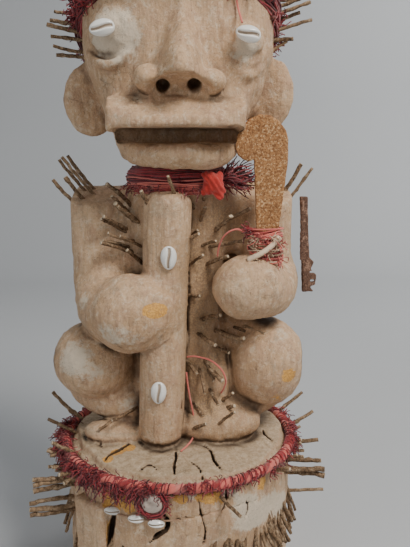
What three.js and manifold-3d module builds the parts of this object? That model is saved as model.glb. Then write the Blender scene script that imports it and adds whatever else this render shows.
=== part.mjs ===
// A seated power figure of carved wood under a clay crust, on a drum-shaped base.
// Millimetres, +Z up, the face looks along -Y, and the base stands on Z = 0.
import * as THREE from 'three';
import { mergeVertices } from 'three/addons/utils/BufferGeometryUtils.js';
import Module from 'manifold-3d';

const wasm = await Module();
wasm.setup();

// Driving dimensions
const gap = 0.3;
const drumRadius = 118;
const drumSides = 26;
const rimHeight = 160;
const seatHeight = 172;
const hornRadius = 22;
const hornTop = [-8, -38, 416];
const hornFoot = [-18.5, -39, 168];
const chinHeight = 437;
const crownHeight = 648;
const twigRadius = 2.1;
const threadRadius = 0.9;
const threadStep = 5.2;
const cowrieLength = 22;
const cowrieWidth = 15.5;
const rimCordRadius = 5;

// Geometry helpers

// Six times the volume that the triangles enclose, negative where they face inwards.
function signedVolume(position, corners) {
  const [a, b, c] = [new THREE.Vector3(), new THREE.Vector3(), new THREE.Vector3()];
  let total = 0;
  for (let i = 0; i < corners.length; i += 3) {
    [a, b, c].forEach((point, k) => point.fromBufferAttribute(position, corners[i + k]));
    total += a.dot(b.cross(c));
  }
  return total;
}

function toSolid(geometry) {
  const bare = geometry.clone();
  bare.deleteAttribute('normal');
  bare.deleteAttribute('uv');
  const merged = mergeVertices(bare, 1e-3);
  const corners = [];
  for (let i = 0; i < merged.index.count; i += 3) {
    const [a, b, c] = [0, 1, 2].map((k) => merged.index.getX(i + k));
    if (a !== b && b !== c && c !== a) corners.push(a, b, c);
  }
  if (signedVolume(merged.attributes.position, corners) < 0) corners.reverse();
  return new wasm.Manifold(new wasm.Mesh({
    numProp: 3,
    vertProperties: new Float32Array(merged.attributes.position.array),
    triVerts: new Uint32Array(corners),
  }));
}

function toGeometry(solid) {
  const mesh = solid.getMesh();
  const geometry = new THREE.BufferGeometry();
  geometry.setAttribute('position', new THREE.BufferAttribute(new Float32Array(mesh.vertProperties), 3));
  geometry.setIndex(new THREE.BufferAttribute(new Uint32Array(mesh.triVerts), 1));
  geometry.computeVertexNormals();
  return geometry;
}

function join(solids) {
  return solids.reduce((whole, piece) => whole.add(piece));
}

function cut(solid, cutters) {
  return cutters.reduce((rest, cutter) => rest.subtract(cutter), solid);
}

function place(geometry, centre, turn = [0, 0, 0]) {
  const degrees = turn.map((angle) => THREE.MathUtils.degToRad(angle));
  geometry.applyMatrix4(new THREE.Matrix4().makeRotationFromEuler(new THREE.Euler(...degrees)));
  geometry.translate(...centre);
  return geometry;
}

// An egg-shaped mass with its poles up and down.
function mass(centre, radii, { turn, sides = 10, rings = 7, grow = 0 } = {}) {
  const shape = new THREE.SphereGeometry(1, sides, rings);
  shape.rotateX(Math.PI / 2);
  shape.scale(radii[0] + grow, radii[1] + grow, radii[2] + grow);
  return toSolid(place(shape, centre, turn));
}

function smoothValue(values, t) {
  const points = values.map((value, i) => new THREE.Vector3(i, value, 0));
  return new THREE.CatmullRomCurve3(points, false, 'catmullrom', 0.5).getPoint(t).y;
}

// A round-ended limb along a smooth path, with its own radius at each named point.
function limb(path, radii, { sides = 8, steps = 6, capRings = 2, grow = 0 } = {}) {
  const curve = new THREE.CatmullRomCurve3(path.map((point) => new THREE.Vector3(...point)), false, 'catmullrom', 0.5);
  const rings = steps + 2 * capRings;
  const shape = new THREE.SphereGeometry(1, sides, rings);
  const frames = curve.computeFrenetFrames(steps, false);
  const position = shape.attributes.position;
  const vertex = new THREE.Vector3();
  for (let i = 0; i < position.count; i += 1) {
    vertex.fromBufferAttribute(position, i);
    const ring = Math.round((Math.acos(THREE.MathUtils.clamp(vertex.y, -1, 1)) / Math.PI) * rings);
    const around = Math.atan2(vertex.z, vertex.x);
    const step = THREE.MathUtils.clamp(ring - capRings, 0, steps);
    const t = curve.getUtoTmapping(step / steps);
    const capAngle = (Math.abs(ring - capRings - step) / capRings) * (Math.PI / 2);
    const radius = smoothValue(radii, t) + grow;
    const endSide = ring < capRings ? -1 : 1;
    const centre = curve.getPoint(t).addScaledVector(frames.tangents[step], endSide * radius * Math.sin(capAngle));
    const spread = radius * Math.cos(capAngle) * (ring === 0 || ring === rings ? 0 : 1);
    centre.addScaledVector(frames.normals[step], spread * Math.cos(around));
    centre.addScaledVector(frames.binormals[step], spread * Math.sin(around));
    position.setXYZ(i, centre.x, centre.y, centre.z);
  }
  return toSolid(shape);
}

// A standing form given by level rows: height, half width, depth in front, depth behind, sideways shift.
function standingForm(rows, { sides = 18, rings = 12, square = 2.3, grow = 0 } = {}) {
  const columns = [0, 1, 2, 3, 4].map((k) => rows.map((row) => row[k] ?? 0));
  const shape = new THREE.SphereGeometry(1, sides, rings);
  const position = shape.attributes.position;
  for (let i = 0; i < position.count; i += 1) {
    const t = Math.acos(THREE.MathUtils.clamp(position.getY(i), -1, 1)) / Math.PI;
    const around = Math.atan2(position.getZ(i), position.getX(i));
    const [height, half, front, back, shift] = columns.map((column) => smoothValue(column, t));
    const [c, s] = [Math.cos(around), Math.sin(around)];
    const reach = 1 / (Math.abs(c) ** square + Math.abs(s) ** square) ** (1 / square);
    const inside = t < 1e-4 || t > 1 - 1e-4 ? 0 : 1;
    const depth = (s < 0 ? front : back) + grow;
    const lift = t < 0.5 ? grow : -grow;
    position.setXYZ(i, shift + inside * reach * c * (half + grow), inside * reach * s * depth, height + lift);
  }
  return toSolid(shape);
}

// A bar with few sides and flat ends between two points.
function rod(start, end, radius, { sides = 4, grow = 0 } = {}) {
  const from = new THREE.Vector3(...start);
  const to = new THREE.Vector3(...end);
  const along = to.clone().sub(from).normalize();
  from.addScaledVector(along, -grow);
  to.addScaledVector(along, grow);
  const section = new THREE.Shape();
  for (let k = 0; k < sides; k += 1) {
    const angle = (2 * Math.PI * k) / sides;
    section[k === 0 ? 'moveTo' : 'lineTo']((radius + grow) * Math.cos(angle), (radius + grow) * Math.sin(angle));
  }
  section.closePath();
  const shape = new THREE.ExtrudeGeometry(section, { depth: from.distanceTo(to), bevelEnabled: false });
  shape.applyQuaternion(new THREE.Quaternion().setFromUnitVectors(new THREE.Vector3(0, 0, 1), along));
  shape.translate(...from.toArray());
  return toSolid(shape);
}

// A ring whose centre line and section come from functions of the angle around it.
function ring(centreAt, sectionAt, { around = 36, section = 6, grow = 0 } = {}) {
  const shape = new THREE.TorusGeometry(2, 1, section, around);
  const position = shape.attributes.position;
  for (let i = 0; i < position.count; i += 1) {
    const [x, y, z] = [position.getX(i), position.getY(i), position.getZ(i)];
    const angle = Math.atan2(y, x);
    const outward = Math.hypot(x, y) - 2;
    const centre = centreAt(angle);
    const [thick, tall] = sectionAt(angle);
    const reach = outward * (thick + grow);
    position.setXYZ(
      i,
      centre[0] + reach * Math.cos(angle),
      centre[1] + reach * Math.sin(angle),
      centre[2] + z * (tall + grow),
    );
  }
  return toSolid(shape);
}

// The drum-shaped base

function drum(grow) {
  const profile = [
    [0, 0], [drumRadius, 0], [drumRadius - 3, 84], [drumRadius, 104],
    [drumRadius, rimHeight - 8], [drumRadius - 7, rimHeight - 6], [drumRadius - 10, rimHeight + 2], [0, seatHeight],
  ].map(([radius, height]) => new THREE.Vector2(radius > 0 ? radius + grow : 0, height));
  const shape = new THREE.LatheGeometry(profile, drumSides);
  shape.rotateX(Math.PI / 2);
  return toSolid(shape);
}

function onDrum(angle, radius, height) {
  const turned = THREE.MathUtils.degToRad(angle);
  return [radius * Math.cos(turned), radius * Math.sin(turned), height];
}

// A loose slab of crust that stands proud on the front left of the drum.
function crustSlab(grow) {
  const slab = new THREE.BoxGeometry(38 + 2 * grow, 14 + 2 * grow, 132 + grow);
  return toSolid(place(slab, [-81, -86, 66], [0, 0, -43]));
}

// Deep checks in the wood: where round the drum, from and to which height, how wide and how deep.
const drumChecks = [
  { angle: -79, low: 55, high: 138, width: 5, depth: 15 },
  { angle: -100, low: 96, high: 122, width: 4, depth: 9 },
  { angle: 62, low: 20, high: 150, width: 6, depth: 16 },
  { angle: 158, low: 0, high: 120, width: 5, depth: 14 },
];

function checkCut({ angle, low, high, width, depth }) {
  const wedge = new THREE.CylinderGeometry(width, width, high - low, 3, 1);
  wedge.rotateX(Math.PI / 2);
  wedge.rotateZ(Math.PI / 2);
  wedge.scale(depth / width, 0.6, 1);
  return toSolid(place(wedge, onDrum(angle, drumRadius + 1, (low + high) / 2), [0, 0, angle]));
}

// Body, arms and folded legs

const torsoRows = [
  [434, 0, 0, 0, 2], [428, 38, 24, 38, 2], [408, 58, 26, 46, 3], [380, 50, 26, 47, 3], [340, 42, 25, 43, 3],
  [300, 39, 26, 42, 3], [262, 43, 27, 46, 3], [215, 58, 26, 66, 3], [172, 64, 24, 70, 3], [160, 0, 0, 0, 3],
];

function torso(grow) {
  return join([
    standingForm(torsoRows, { sides: 10, rings: 9, grow }),
    // The yoke of the shoulders, and the broad back that joins the arms to the body
    mass([7, 18, 396], [88, 28, 26], { sides: 8, rings: 5, grow }),
    mass([7, 34, 340], [84, 24, 72], { sides: 8, rings: 5, grow }),
  ]);
}

const limbs = [
  // Right arm, on the viewer's left: shoulder, upper arm, elbow, forearm.
  { path: [[-80, 12, 395], [-82, 8, 362], [-79, 4, 328], [-74, -14, 304], [-58, -36, 303]], radii: [29, 25, 26, 31, 34] },
  // Left arm, on the viewer's right.
  { path: [[94, 12, 393], [96, 8, 360], [102, 2, 328], [94, -16, 320], [80, -34, 324]], radii: [28, 24, 25, 28, 28] },
  // Right leg: hip, thigh, knee, then the shin that comes back under it.
  { path: [[-38, 34, 214], [-64, 18, 228], [-84, -4, 242]], radii: [36, 39, 38], steps: 3 },
  { path: [[-86, 22, 206], [-66, 2, 198], [-40, -6, 192], [-14, -4, 190]], radii: [30, 26, 24, 20], steps: 3 },
  // Left leg.
  { path: [[46, 34, 214], [70, 18, 222], [90, -2, 230]], radii: [36, 38, 37], steps: 3 },
  { path: [[92, 16, 208], [74, 6, 198], [48, 4, 194], [24, 2, 196]], radii: [33, 28, 24, 20], steps: 3 },
];

const roundMasses = [
  // Clay-covered fists
  { at: [-45, -49, 305], radii: [37, 33, 41] },
  { at: [67, -47, 327], radii: [34, 31, 31] },
  // Knees
  { at: [-87, -12, 247], radii: [39, 38, 38] },
  { at: [92, -10, 238], radii: [38, 38, 48] },
  // Crossed feet in the lap
  { at: [30, -9, 213], radii: [25, 24, 52] },
];

function horn(grow) {
  const height = hornTop[2] - hornFoot[2];
  const radius = hornRadius + grow;
  const profile = [[0, 0], [radius - 3, 0], [radius, 7], [radius, height - 13], [radius - 8, height - 3], [0, height]]
    .map(([r, z]) => new THREE.Vector2(r, z));
  const shape = new THREE.LatheGeometry(profile, 12);
  const axis = new THREE.Vector3(...hornTop).sub(new THREE.Vector3(...hornFoot)).normalize();
  shape.applyQuaternion(new THREE.Quaternion().setFromUnitVectors(new THREE.Vector3(0, 1, 0), axis));
  shape.translate(...hornFoot);
  return toSolid(shape);
}

// Head

const headRows = [
  [crownHeight, 0, 0, 0, 2], [644, 34, 28, 36, 2], [626, 66, 50, 66, 2], [600, 84, 60, 84, 2], [572, 88, 62, 92, 2],
  [545, 89, 62, 90, 3], [522, 84, 62, 80, 3], [500, 76, 62, 66, 3], [480, 64, 60, 54, 2], [460, 54, 54, 46, 1],
  [442, 40, 40, 36, 1], [chinHeight, 0, 0, 0, 1],
];

function ear(side, centre, grow) {
  return mass(centre, [27, 9, 36], { turn: [0, 0, side * 14], sides: 9, rings: 7, grow });
}

function eye(centre, grow) {
  const [x, y, z] = centre;
  const ball = mass([x, y, z], [25, 13, 22], { sides: 11, rings: 6, grow });
  const lid = limb(
    [[x - 24, y + 5, z - 12], [x - 10, y - 3, z - 23], [x + 10, y - 3, z - 23], [x + 24, y + 5, z - 10]],
    [3, 6, 6, 3],
    { sides: 4, steps: 4, capRings: 1, grow },
  );
  return ball.add(lid);
}

function nose(grow) {
  return join([
    limb([[2, -50, 598], [3, -60, 570], [7, -72, 540], [8, -78, 525]], [16, 17, 23, 25], { steps: 3, grow }),
    mass([-17, -68, 513], [17, 16, 12], { sides: 7, rings: 5, grow }),
    mass([18, -68, 513], [16, 16, 12], { sides: 7, rings: 5, grow }),
  ]);
}

function mouth(grow) {
  return join([
    // Upper lip, a shelf that runs right across the face
    limb([[-56, -42, 484], [-34, -66, 484], [2, -76, 485], [35, -66, 482], [58, -42, 479]], [10, 11, 12, 11, 10],
      { sides: 6, steps: 7, capRings: 1, grow }),
    // Lower jaw, a scoop behind the lip
    limb([[-46, -30, 462], [-28, -50, 453], [2, -60, 449], [30, -50, 453], [49, -30, 462]], [9, 9, 9, 9, 9],
      { sides: 5, steps: 6, capRings: 1, grow }),
    mass([3, -62, 452], [26, 13, 9.5], { sides: 9, rings: 5, grow }),
  ]);
}

const mouthSlot = () => limb(
  [[-50, -54, 470], [-28, -72, 468], [2, -78, 467], [30, -72, 467], [52, -54, 468]],
  [4, 6.5, 7, 6.5, 4],
  { sides: 4, steps: 5, capRings: 1 },
);

const nostrils = () => [[-15, -76, 501], [20, -76, 501]].map((at) => mass(at, [8, 7, 8], { sides: 5, rings: 4 }));

function head(grow) {
  const whole = join([
    standingForm(headRows, { sides: 16, rings: 12, square: 2.25, grow }),
    ear(-1, [-84, 10, 503], grow), ear(1, [90, 10, 508], grow),
    eye([-57, -54, 550], grow), eye([59, -54, 548], grow),
    nose(grow), mouth(grow),
    mass([1, 0, 428], [41, 38, 30], { sides: 9, rings: 4, grow }),
  ]);
  return cut(whole, [mouthSlot(), ...nostrils()]);
}

function carving(grow) {
  return join([
    drum(grow), crustSlab(grow), torso(grow),
    ...limbs.map(({ path, radii, steps }) => limb(path, radii, { steps: steps ?? 5, grow })),
    ...roundMasses.map(({ at, radii }) => mass(at, radii, { sides: 11, rings: 7, grow })),
    horn(grow), head(grow),
  ]);
}

// Twigs, each driven into the carving: name, where it enters, and its tip.
const twigs = [
  ['shoulder_right_1', [-98, 10, 399], [-122, 4, 426]],
  ['shoulder_right_2', [-88, 4, 402], [-108, -6, 429]],
  ['shoulder_right_3', [-80, 10, 408], [-113, 8, 448]],
  ['shoulder_right_4', [-90, 20, 410], [-119, 26, 445]],
  ['shoulder_right_5', [-82, 24, 412], [-111, 30, 449]],
  ['chest_right_1', [-44, -14, 402], [-65, -34, 424]],
  ['chest_right_2', [-37, -16, 386], [-57, -40, 406]],
  ['chest_right_3', [-46, -12, 377], [-68, -40, 394]],
  ['chest_right_4', [-42, -12, 358], [-70, -38, 371]],
  ['collar', [-2, -18, 406], [-7, -38, 433]],
  ['chest_left_1', [37, -20, 378], [50, -42, 394]],
  ['chest_left_2', [50, -14, 388], [70, -30, 400]],
  ['chest_left_3', [30, -20, 362], [62, -44, 371]],
  ['chest_left_4', [28, -20, 344], [48, -44, 356]],
  ['belly_1', [24, -22, 288], [41, -44, 299]],
  ['belly_2', [22, -24, 274], [36, -48, 270]],
  ['belly_3', [40, -20, 276], [64, -46, 276]],
  ['lap_1', [30, -18, 240], [43, -48, 234]],
  ['lap_2', [36, -18, 190], [56, -40, 204]],
  ['shoulder_left_1', [106, 14, 407], [126, 10, 441]],
  ['shoulder_left_2', [112, 12, 401], [137, 8, 437]],
  ['rim_1', [-104, 30, 160], [-140, 40, 190]],
  ['rim_2', [-102, 0, 156], [-138, 0, 176]],
  ['rim_3', [-92, -44, 154], [-122, -60, 178]],
  ['rim_4', [108, 42, 156], [144, 56, 178]],
  ['rim_5', [110, 14, 152], [149, 19, 171]],
  ['rim_6', [108, -10, 150], [148, -14, 153]],
  ['rim_7', [104, -36, 144], [143, -50, 148]],
  ['rim_8', [110, -20, 98], [152, -28, 103]],
  ['rim_9', [34, -106, 148], [54, -132, 140]],
  ['temple_right_1', [-80, 4, 562], [-120, 0, 570]],
  ['temple_right_2', [-80, 4, 546], [-115, 0, 551]],
  ['temple_left_1', [84, 4, 578], [128, 0, 592]],
  ['temple_left_2', [84, 4, 562], [130, 0, 576]],
];

// Bundles of stout sticks that touch each other, each bundle a node of its own.
const bundles = [
  { name: 'rim_bundle_right', from: [-98, -42, 106], to: [-146, -60, 110], radius: 3.2, sticks: [[0, 0], [0, 5.2], [0, -5.2]] },
  { name: 'rim_bundle_upper', from: [-98, -48, 134], to: [-140, -66, 140], radius: 2.6, sticks: [[0, 0], [0, 4.2], [0, -4.2]] },
  { name: 'rim_bundle_left', from: [104, -40, 132], to: [145, -54, 138], radius: 3, sticks: [[0, 0], [0, 4.8]] },
];

const twigSolid = ([, start, end], grow) => rod(start, end, twigRadius, { grow });

function bundleSolid({ from, to, radius, sticks }, grow) {
  return join(sticks.map(([side, up]) => rod(
    [from[0], from[1] + side, from[2] + up],
    [to[0], to[1] + side, to[2] + up],
    radius,
    { sides: 5, grow },
  )));
}

// Cowrie shells: an egg with a slot along its mouth, pressed into the clay.
const cowries = [
  { name: 'eye_cowrie_right', at: [-61, -67, 555], turn: [0, 0, -12], flat: true },
  { name: 'eye_cowrie_left', at: [62, -67, 551], turn: [0, 14, 12], flat: true },
  { name: 'horn_cowrie_upper', at: [-7.5, -60.5, 358], turn: [0, 0, 0] },
  { name: 'horn_cowrie_lower', at: [-18.5, -60.8, 228], turn: [0, 0, 0] },
];

function cowrieSolid({ at, turn, flat }) {
  const along = cowrieLength / 2;
  const across = cowrieWidth / 2;
  const size = flat ? [along, 4.5, across] : [across, 4.5, along];
  const shell = mass(at, size, { turn, sides: 7, rings: 5 });
  const slot = new THREE.BoxGeometry(...(flat ? [along * 1.5, 3, 2.2] : [2.2, 3, along * 1.5]));
  return shell.subtract(toSolid(place(slot, [at[0], at[1] - 4.2, at[2]], turn)));
}

// Small cowries on a string under the rim shell.
const stringCowries = [-121, -109, -100].map((angle, i) => ({ name: `base_cowrie_${i + 1}`, angle, height: 131 - 2 * i }));

function stringCowrieSolid({ angle, height }) {
  return mass(onDrum(angle, drumRadius + 1, height), [4, 8, 4.5], { turn: [0, 0, angle], sides: 7, rings: 4 });
}

// The pale round shell on the front of the rim, and the thread bound round it.
const rimShellAngle = -102;
const rimShellRadius = 10.5;
const rimShellThickness = 4;
const rimBindingRadius = 1.8;
const rimShellAt = onDrum(rimShellAngle, drumRadius + rimShellThickness / 2 + gap, 147);

function rimShell() {
  const shape = new THREE.CylinderGeometry(rimShellRadius - 2, rimShellRadius, rimShellThickness, 12, 1);
  shape.rotateZ(-Math.PI / 2);
  return toSolid(place(shape, rimShellAt, [0, 0, rimShellAngle]));
}

function rimShellBinding() {
  const shape = new THREE.TorusGeometry(rimShellRadius + rimBindingRadius + 0.6, rimBindingRadius, 4, 14);
  shape.rotateY(Math.PI / 2);
  return toSolid(place(shape, rimShellAt, [0, 0, rimShellAngle]));
}

// Red cord rolled round the rim of the drum
function rimCord(grow) {
  return ring(
    (angle) => [drumRadius * Math.cos(angle), drumRadius * Math.sin(angle), rimHeight],
    () => [rimCordRadius, rimCordRadius],
    { around: drumSides, section: 4, grow },
  );
}

// Yarn wound round the neck
function neckYarn(grow) {
  return ring(
    (angle) => [1 + 41 * Math.cos(angle), 39 * Math.sin(angle), 427],
    () => [10, 13],
    { around: 13, section: 5, grow },
  );
}

// The cloth knot in front of the neck and the frayed tuft beside it
const neckKnot = (grow) => mass([33, -45, 425], [11, 9, 13], { sides: 7, rings: 5, grow });
const neckTuft = (grow) => mass([58, -36, 429], [17, 9, 14], { sides: 7, rings: 5, grow });

// Yarn bound round the head over the hairline, high in front and low behind
function headYarn(grow) {
  return ring(
    (angle) => [2 + 88 * Math.cos(angle), 14 + 75 * Math.sin(angle), 576 - 32 * Math.sin(angle)],
    (angle) => [12, 25 - 10 * Math.max(0, -Math.sin(angle))],
    { around: 16, section: 5, grow },
  );
}

// The iron billhook blade that stands in the left fist
const bladeThickness = 5;
const bladeDepth = -45;

function blade(grow) {
  const outline = new THREE.Shape();
  outline.moveTo(76 - grow, 352);
  outline.lineTo(71 - grow, 446);
  outline.lineTo(61, 446 - grow);
  outline.quadraticCurveTo(53 - grow, 450, 56 - grow, 464);
  outline.quadraticCurveTo(61 - grow, 486 + grow, 78, 487 + grow);
  outline.quadraticCurveTo(97 + grow, 485 + grow, 102.5 + grow, 466);
  outline.lineTo(102 + grow, 441);
  outline.lineTo(94 + grow, 374);
  outline.lineTo(91 + grow, 352);
  outline.closePath();
  const shape = new THREE.ExtrudeGeometry(outline, {
    depth: bladeThickness + 2 * grow, bevelEnabled: false, curveSegments: 6,
  });
  shape.rotateX(Math.PI / 2);
  shape.translate(0, bladeDepth + bladeThickness / 2 + grow, 0);
  return toSolid(shape);
}

function bladeBinding(grow) {
  return join([
    mass([84, bladeDepth, 377], [19, 12, 8], { sides: 8, rings: 4, grow }),
    mass([83, bladeDepth, 363], [22, 17, 15], { sides: 8, rings: 5, grow }),
  ]);
}

// The iron key tied upright against the outside of the left arm
function key(grow) {
  const outline = new THREE.Shape();
  const steps = [
    [124, 409], [132.5, 409], [136, 346], [141, 342], [138, 334], [144, 328], [143, 318], [138, 315], [142, 310], [129, 310],
  ];
  outline.moveTo(steps[0][0] - grow, steps[0][1] + grow);
  steps.slice(1).forEach(([x, z]) => outline.lineTo(x + (x > 134 || z > 400 ? grow : 0), z + (z > 400 ? grow : 0)));
  outline.closePath();
  const shape = new THREE.ExtrudeGeometry(outline, { depth: 7 + 2 * grow, bevelEnabled: false });
  shape.rotateX(Math.PI / 2);
  shape.translate(0, 8 + grow, 0);
  return toSolid(shape);
}

// Red threads that hang or lie free, each as a route chosen by eye
const threads = [
  {
    name: 'hanging_thread',
    route: [
      [8, -34, 238], [9.2, -36, 227], [11, -37, 215], [13.2, -37.5, 203], [15.4, -38, 191], [16, -39.5, 180],
      [13.5, -44, 171.5], [8.5, -52, 168.6], [2, -62, 167.6],
    ],
  },
  {
    name: 'lap_thread',
    route: [
      [8.8, -36, 254.5], [15, -38, 255.8], [23, -37, 254], [31, -37.5, 251.5], [38, -39, 247], [44, -42, 240.5],
      [46.8, -42.5, 231.5], [45.5, -38, 222.5], [43, -31.5, 214.5],
    ],
  },
  {
    name: 'chest_thread',
    route: [
      [63, -46, 379], [57, -46.5, 382], [50.5, -45, 380.5], [45, -42, 376], [41.5, -38.5, 369.5], [39.5, -35, 362],
      [38.6, -32.5, 354.3],
    ],
  },
  {
    name: 'brow_thread',
    route: [[50.8, -61, 593], [51.8, -59, 586.5], [53, -56.5, 579], [54.4, -57.5, 572], [55.6, -62, 566], [56.6, -66.5, 560.5]],
  },
];

function threadSolid({ route }) {
  const curve = new THREE.CatmullRomCurve3(route.map((point) => new THREE.Vector3(...point)));
  const section = new THREE.Shape();
  section.absarc(0, 0, threadRadius, 0, 2 * Math.PI);
  const steps = Math.round(curve.getLength() / threadStep);
  const shape = new THREE.ExtrudeGeometry(section, { extrudePath: curve, steps, curveSegments: 4 });
  return toSolid(shape);
}

// Everything put together, each piece cut clear of what it is set into

const clay = { colour: 0xb09a80, roughness: 0.92, metalness: 0 };
const bark = { colour: 0x6b5a49, roughness: 0.9, metalness: 0 };
const shellWhite = { colour: 0xe9e6dd, roughness: 0.35, metalness: 0 };
const redYarn = { colour: 0x7d2f35, roughness: 0.95, metalness: 0 };
const rustyIron = { colour: 0x8a6644, roughness: 0.8, metalness: 0.4 };
const darkIron = { colour: 0x6b5349, roughness: 0.8, metalness: 0.5 };

const figure = new THREE.Group();

function addPiece(name, solid, { colour, roughness, metalness }) {
  const material = new THREE.MeshStandardMaterial({ color: colour, roughness, metalness });
  const mesh = new THREE.Mesh(toGeometry(solid), material);
  mesh.name = name;
  figure.add(mesh);
}

const twigCutters = twigs.map((twig) => twigSolid(twig, gap));
const bundleCutters = bundles.map((bundle) => bundleSolid(bundle, gap));

const body = cut(carving(0), [
  ...drumChecks.map(checkCut), ...twigCutters, ...bundleCutters,
  headYarn(gap), neckYarn(gap), blade(gap), bladeBinding(gap),
]);
const clearOfBody = carving(gap);

addPiece('figure', body, clay);
twigs.forEach((twig) => addPiece(`twig_${twig[0]}`, twigSolid(twig, 0), bark));
bundles.forEach((bundle) => addPiece(bundle.name, bundleSolid(bundle, 0), bark));
cowries.forEach((cowrie) => addPiece(cowrie.name, cut(cowrieSolid(cowrie), [clearOfBody]), shellWhite));
stringCowries.forEach((cowrie) => addPiece(cowrie.name, cut(stringCowrieSolid(cowrie), [clearOfBody]), shellWhite));
addPiece('rim_shell', cut(rimShell(), [rimCord(gap)]), shellWhite);
addPiece('rim_shell_binding', cut(rimShellBinding(), [rimCord(gap)]), redYarn);
addPiece('rim_cord', cut(rimCord(0), [...twigCutters, ...bundleCutters]), redYarn);
addPiece('neck_yarn', cut(neckYarn(0), twigCutters), redYarn);
addPiece('neck_knot', cut(neckKnot(0), [clearOfBody, neckYarn(gap), ...twigCutters]), redYarn);
addPiece('neck_tuft', cut(neckTuft(0), [clearOfBody, neckYarn(gap), neckKnot(gap)]), redYarn);
addPiece('head_yarn', cut(headYarn(0), twigCutters), redYarn);
addPiece('blade', blade(0), rustyIron);
addPiece('blade_binding', cut(bladeBinding(0), [blade(gap)]), redYarn);
addPiece('key', cut(key(0), [clearOfBody]), darkIron);
threads.forEach((thread) => addPiece(thread.name, threadSolid(thread), redYarn));

export default figure;
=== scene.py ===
"""A seated power figure of carved wood under a clay crust, stuck with twigs, on a drum-shaped base.

Lengths in this script are millimetres in the frame's own axes, and every mesh is made in metres.
"""

import math

import bpy
import numpy as np
import openvdb
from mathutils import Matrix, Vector
from mathutils.bvhtree import BVHTree


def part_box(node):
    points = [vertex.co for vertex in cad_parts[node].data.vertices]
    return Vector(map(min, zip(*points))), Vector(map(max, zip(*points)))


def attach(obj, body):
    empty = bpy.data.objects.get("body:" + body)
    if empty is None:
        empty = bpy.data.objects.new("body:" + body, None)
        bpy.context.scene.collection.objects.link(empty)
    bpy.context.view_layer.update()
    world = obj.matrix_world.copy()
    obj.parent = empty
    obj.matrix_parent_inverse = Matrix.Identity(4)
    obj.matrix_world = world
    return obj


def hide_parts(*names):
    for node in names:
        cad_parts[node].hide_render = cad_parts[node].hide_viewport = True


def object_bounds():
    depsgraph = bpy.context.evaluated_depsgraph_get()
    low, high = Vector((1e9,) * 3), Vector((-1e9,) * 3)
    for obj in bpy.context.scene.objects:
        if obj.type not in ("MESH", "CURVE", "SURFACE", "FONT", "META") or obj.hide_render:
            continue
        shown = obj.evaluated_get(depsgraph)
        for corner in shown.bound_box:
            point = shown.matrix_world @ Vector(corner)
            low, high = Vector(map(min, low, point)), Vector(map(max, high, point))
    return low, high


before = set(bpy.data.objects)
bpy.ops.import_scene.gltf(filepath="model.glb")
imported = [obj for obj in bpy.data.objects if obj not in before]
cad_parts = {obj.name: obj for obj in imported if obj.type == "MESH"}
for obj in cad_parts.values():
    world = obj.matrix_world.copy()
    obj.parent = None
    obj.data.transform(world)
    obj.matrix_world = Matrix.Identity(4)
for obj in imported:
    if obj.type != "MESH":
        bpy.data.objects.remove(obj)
CAD_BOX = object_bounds()

MM = 0.001
SEED = 20


def on_drum(angle, radius, height):
    turn = math.radians(angle)
    return np.array([radius * math.cos(turn), radius * math.sin(turn), height])


# Camera

CAMERA_PLACE = (0.0, -0.620, 0.454)
CAMERA_DOWN = math.radians(11.2)
CAMERA_TURN = math.radians(-2.6)
IMAGE_WIDTH = 410
IMAGE_HEIGHT = 547
FOCAL_PIXELS = 620
SENSOR = 36.0


def make_camera():
    data = bpy.data.cameras.new("camera")
    data.sensor_width = SENSOR
    data.lens = SENSOR * FOCAL_PIXELS / IMAGE_HEIGHT
    camera = bpy.data.objects.new("camera", data)
    camera.location = CAMERA_PLACE
    camera.rotation_euler = (math.pi / 2 - CAMERA_DOWN, 0.0, CAMERA_TURN)
    bpy.context.scene.collection.objects.link(camera)
    bpy.context.scene.camera = camera


make_camera()


def towards(pixel):
    """The direction from the camera through a pixel of the photograph."""
    axes = np.array(bpy.context.scene.camera.rotation_euler.to_matrix())
    aim = axes @ np.array([pixel[0] - IMAGE_WIDTH / 2, IMAGE_HEIGHT / 2 - pixel[1], -FOCAL_PIXELS])
    return aim / np.linalg.norm(aim)


def at_depth(pixel, y):
    """The place behind a pixel in the upright plane at this Y."""
    eye, aim = np.array(CAMERA_PLACE) / MM, towards(pixel)
    return eye + aim * (y - eye[1]) / aim[1]


def at_height(pixel, z):
    """The place behind a pixel at this height."""
    eye, aim = np.array(CAMERA_PLACE) / MM, towards(pixel)
    return eye + aim * (z - eye[2]) / aim[2]


def on_wall(pixel, radius):
    """The place behind a pixel on the near side of an upright cylinder about the middle of the part."""
    eye, aim = np.array(CAMERA_PLACE) / MM, towards(pixel)
    a = aim[0] ** 2 + aim[1] ** 2
    b = eye[0] * aim[0] + eye[1] * aim[1]
    c = eye[0] ** 2 + eye[1] ** 2 - radius ** 2
    return eye + aim * (-b - math.sqrt(max(b * b - a * c, 0))) / a


# Meshes from arrays

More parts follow.
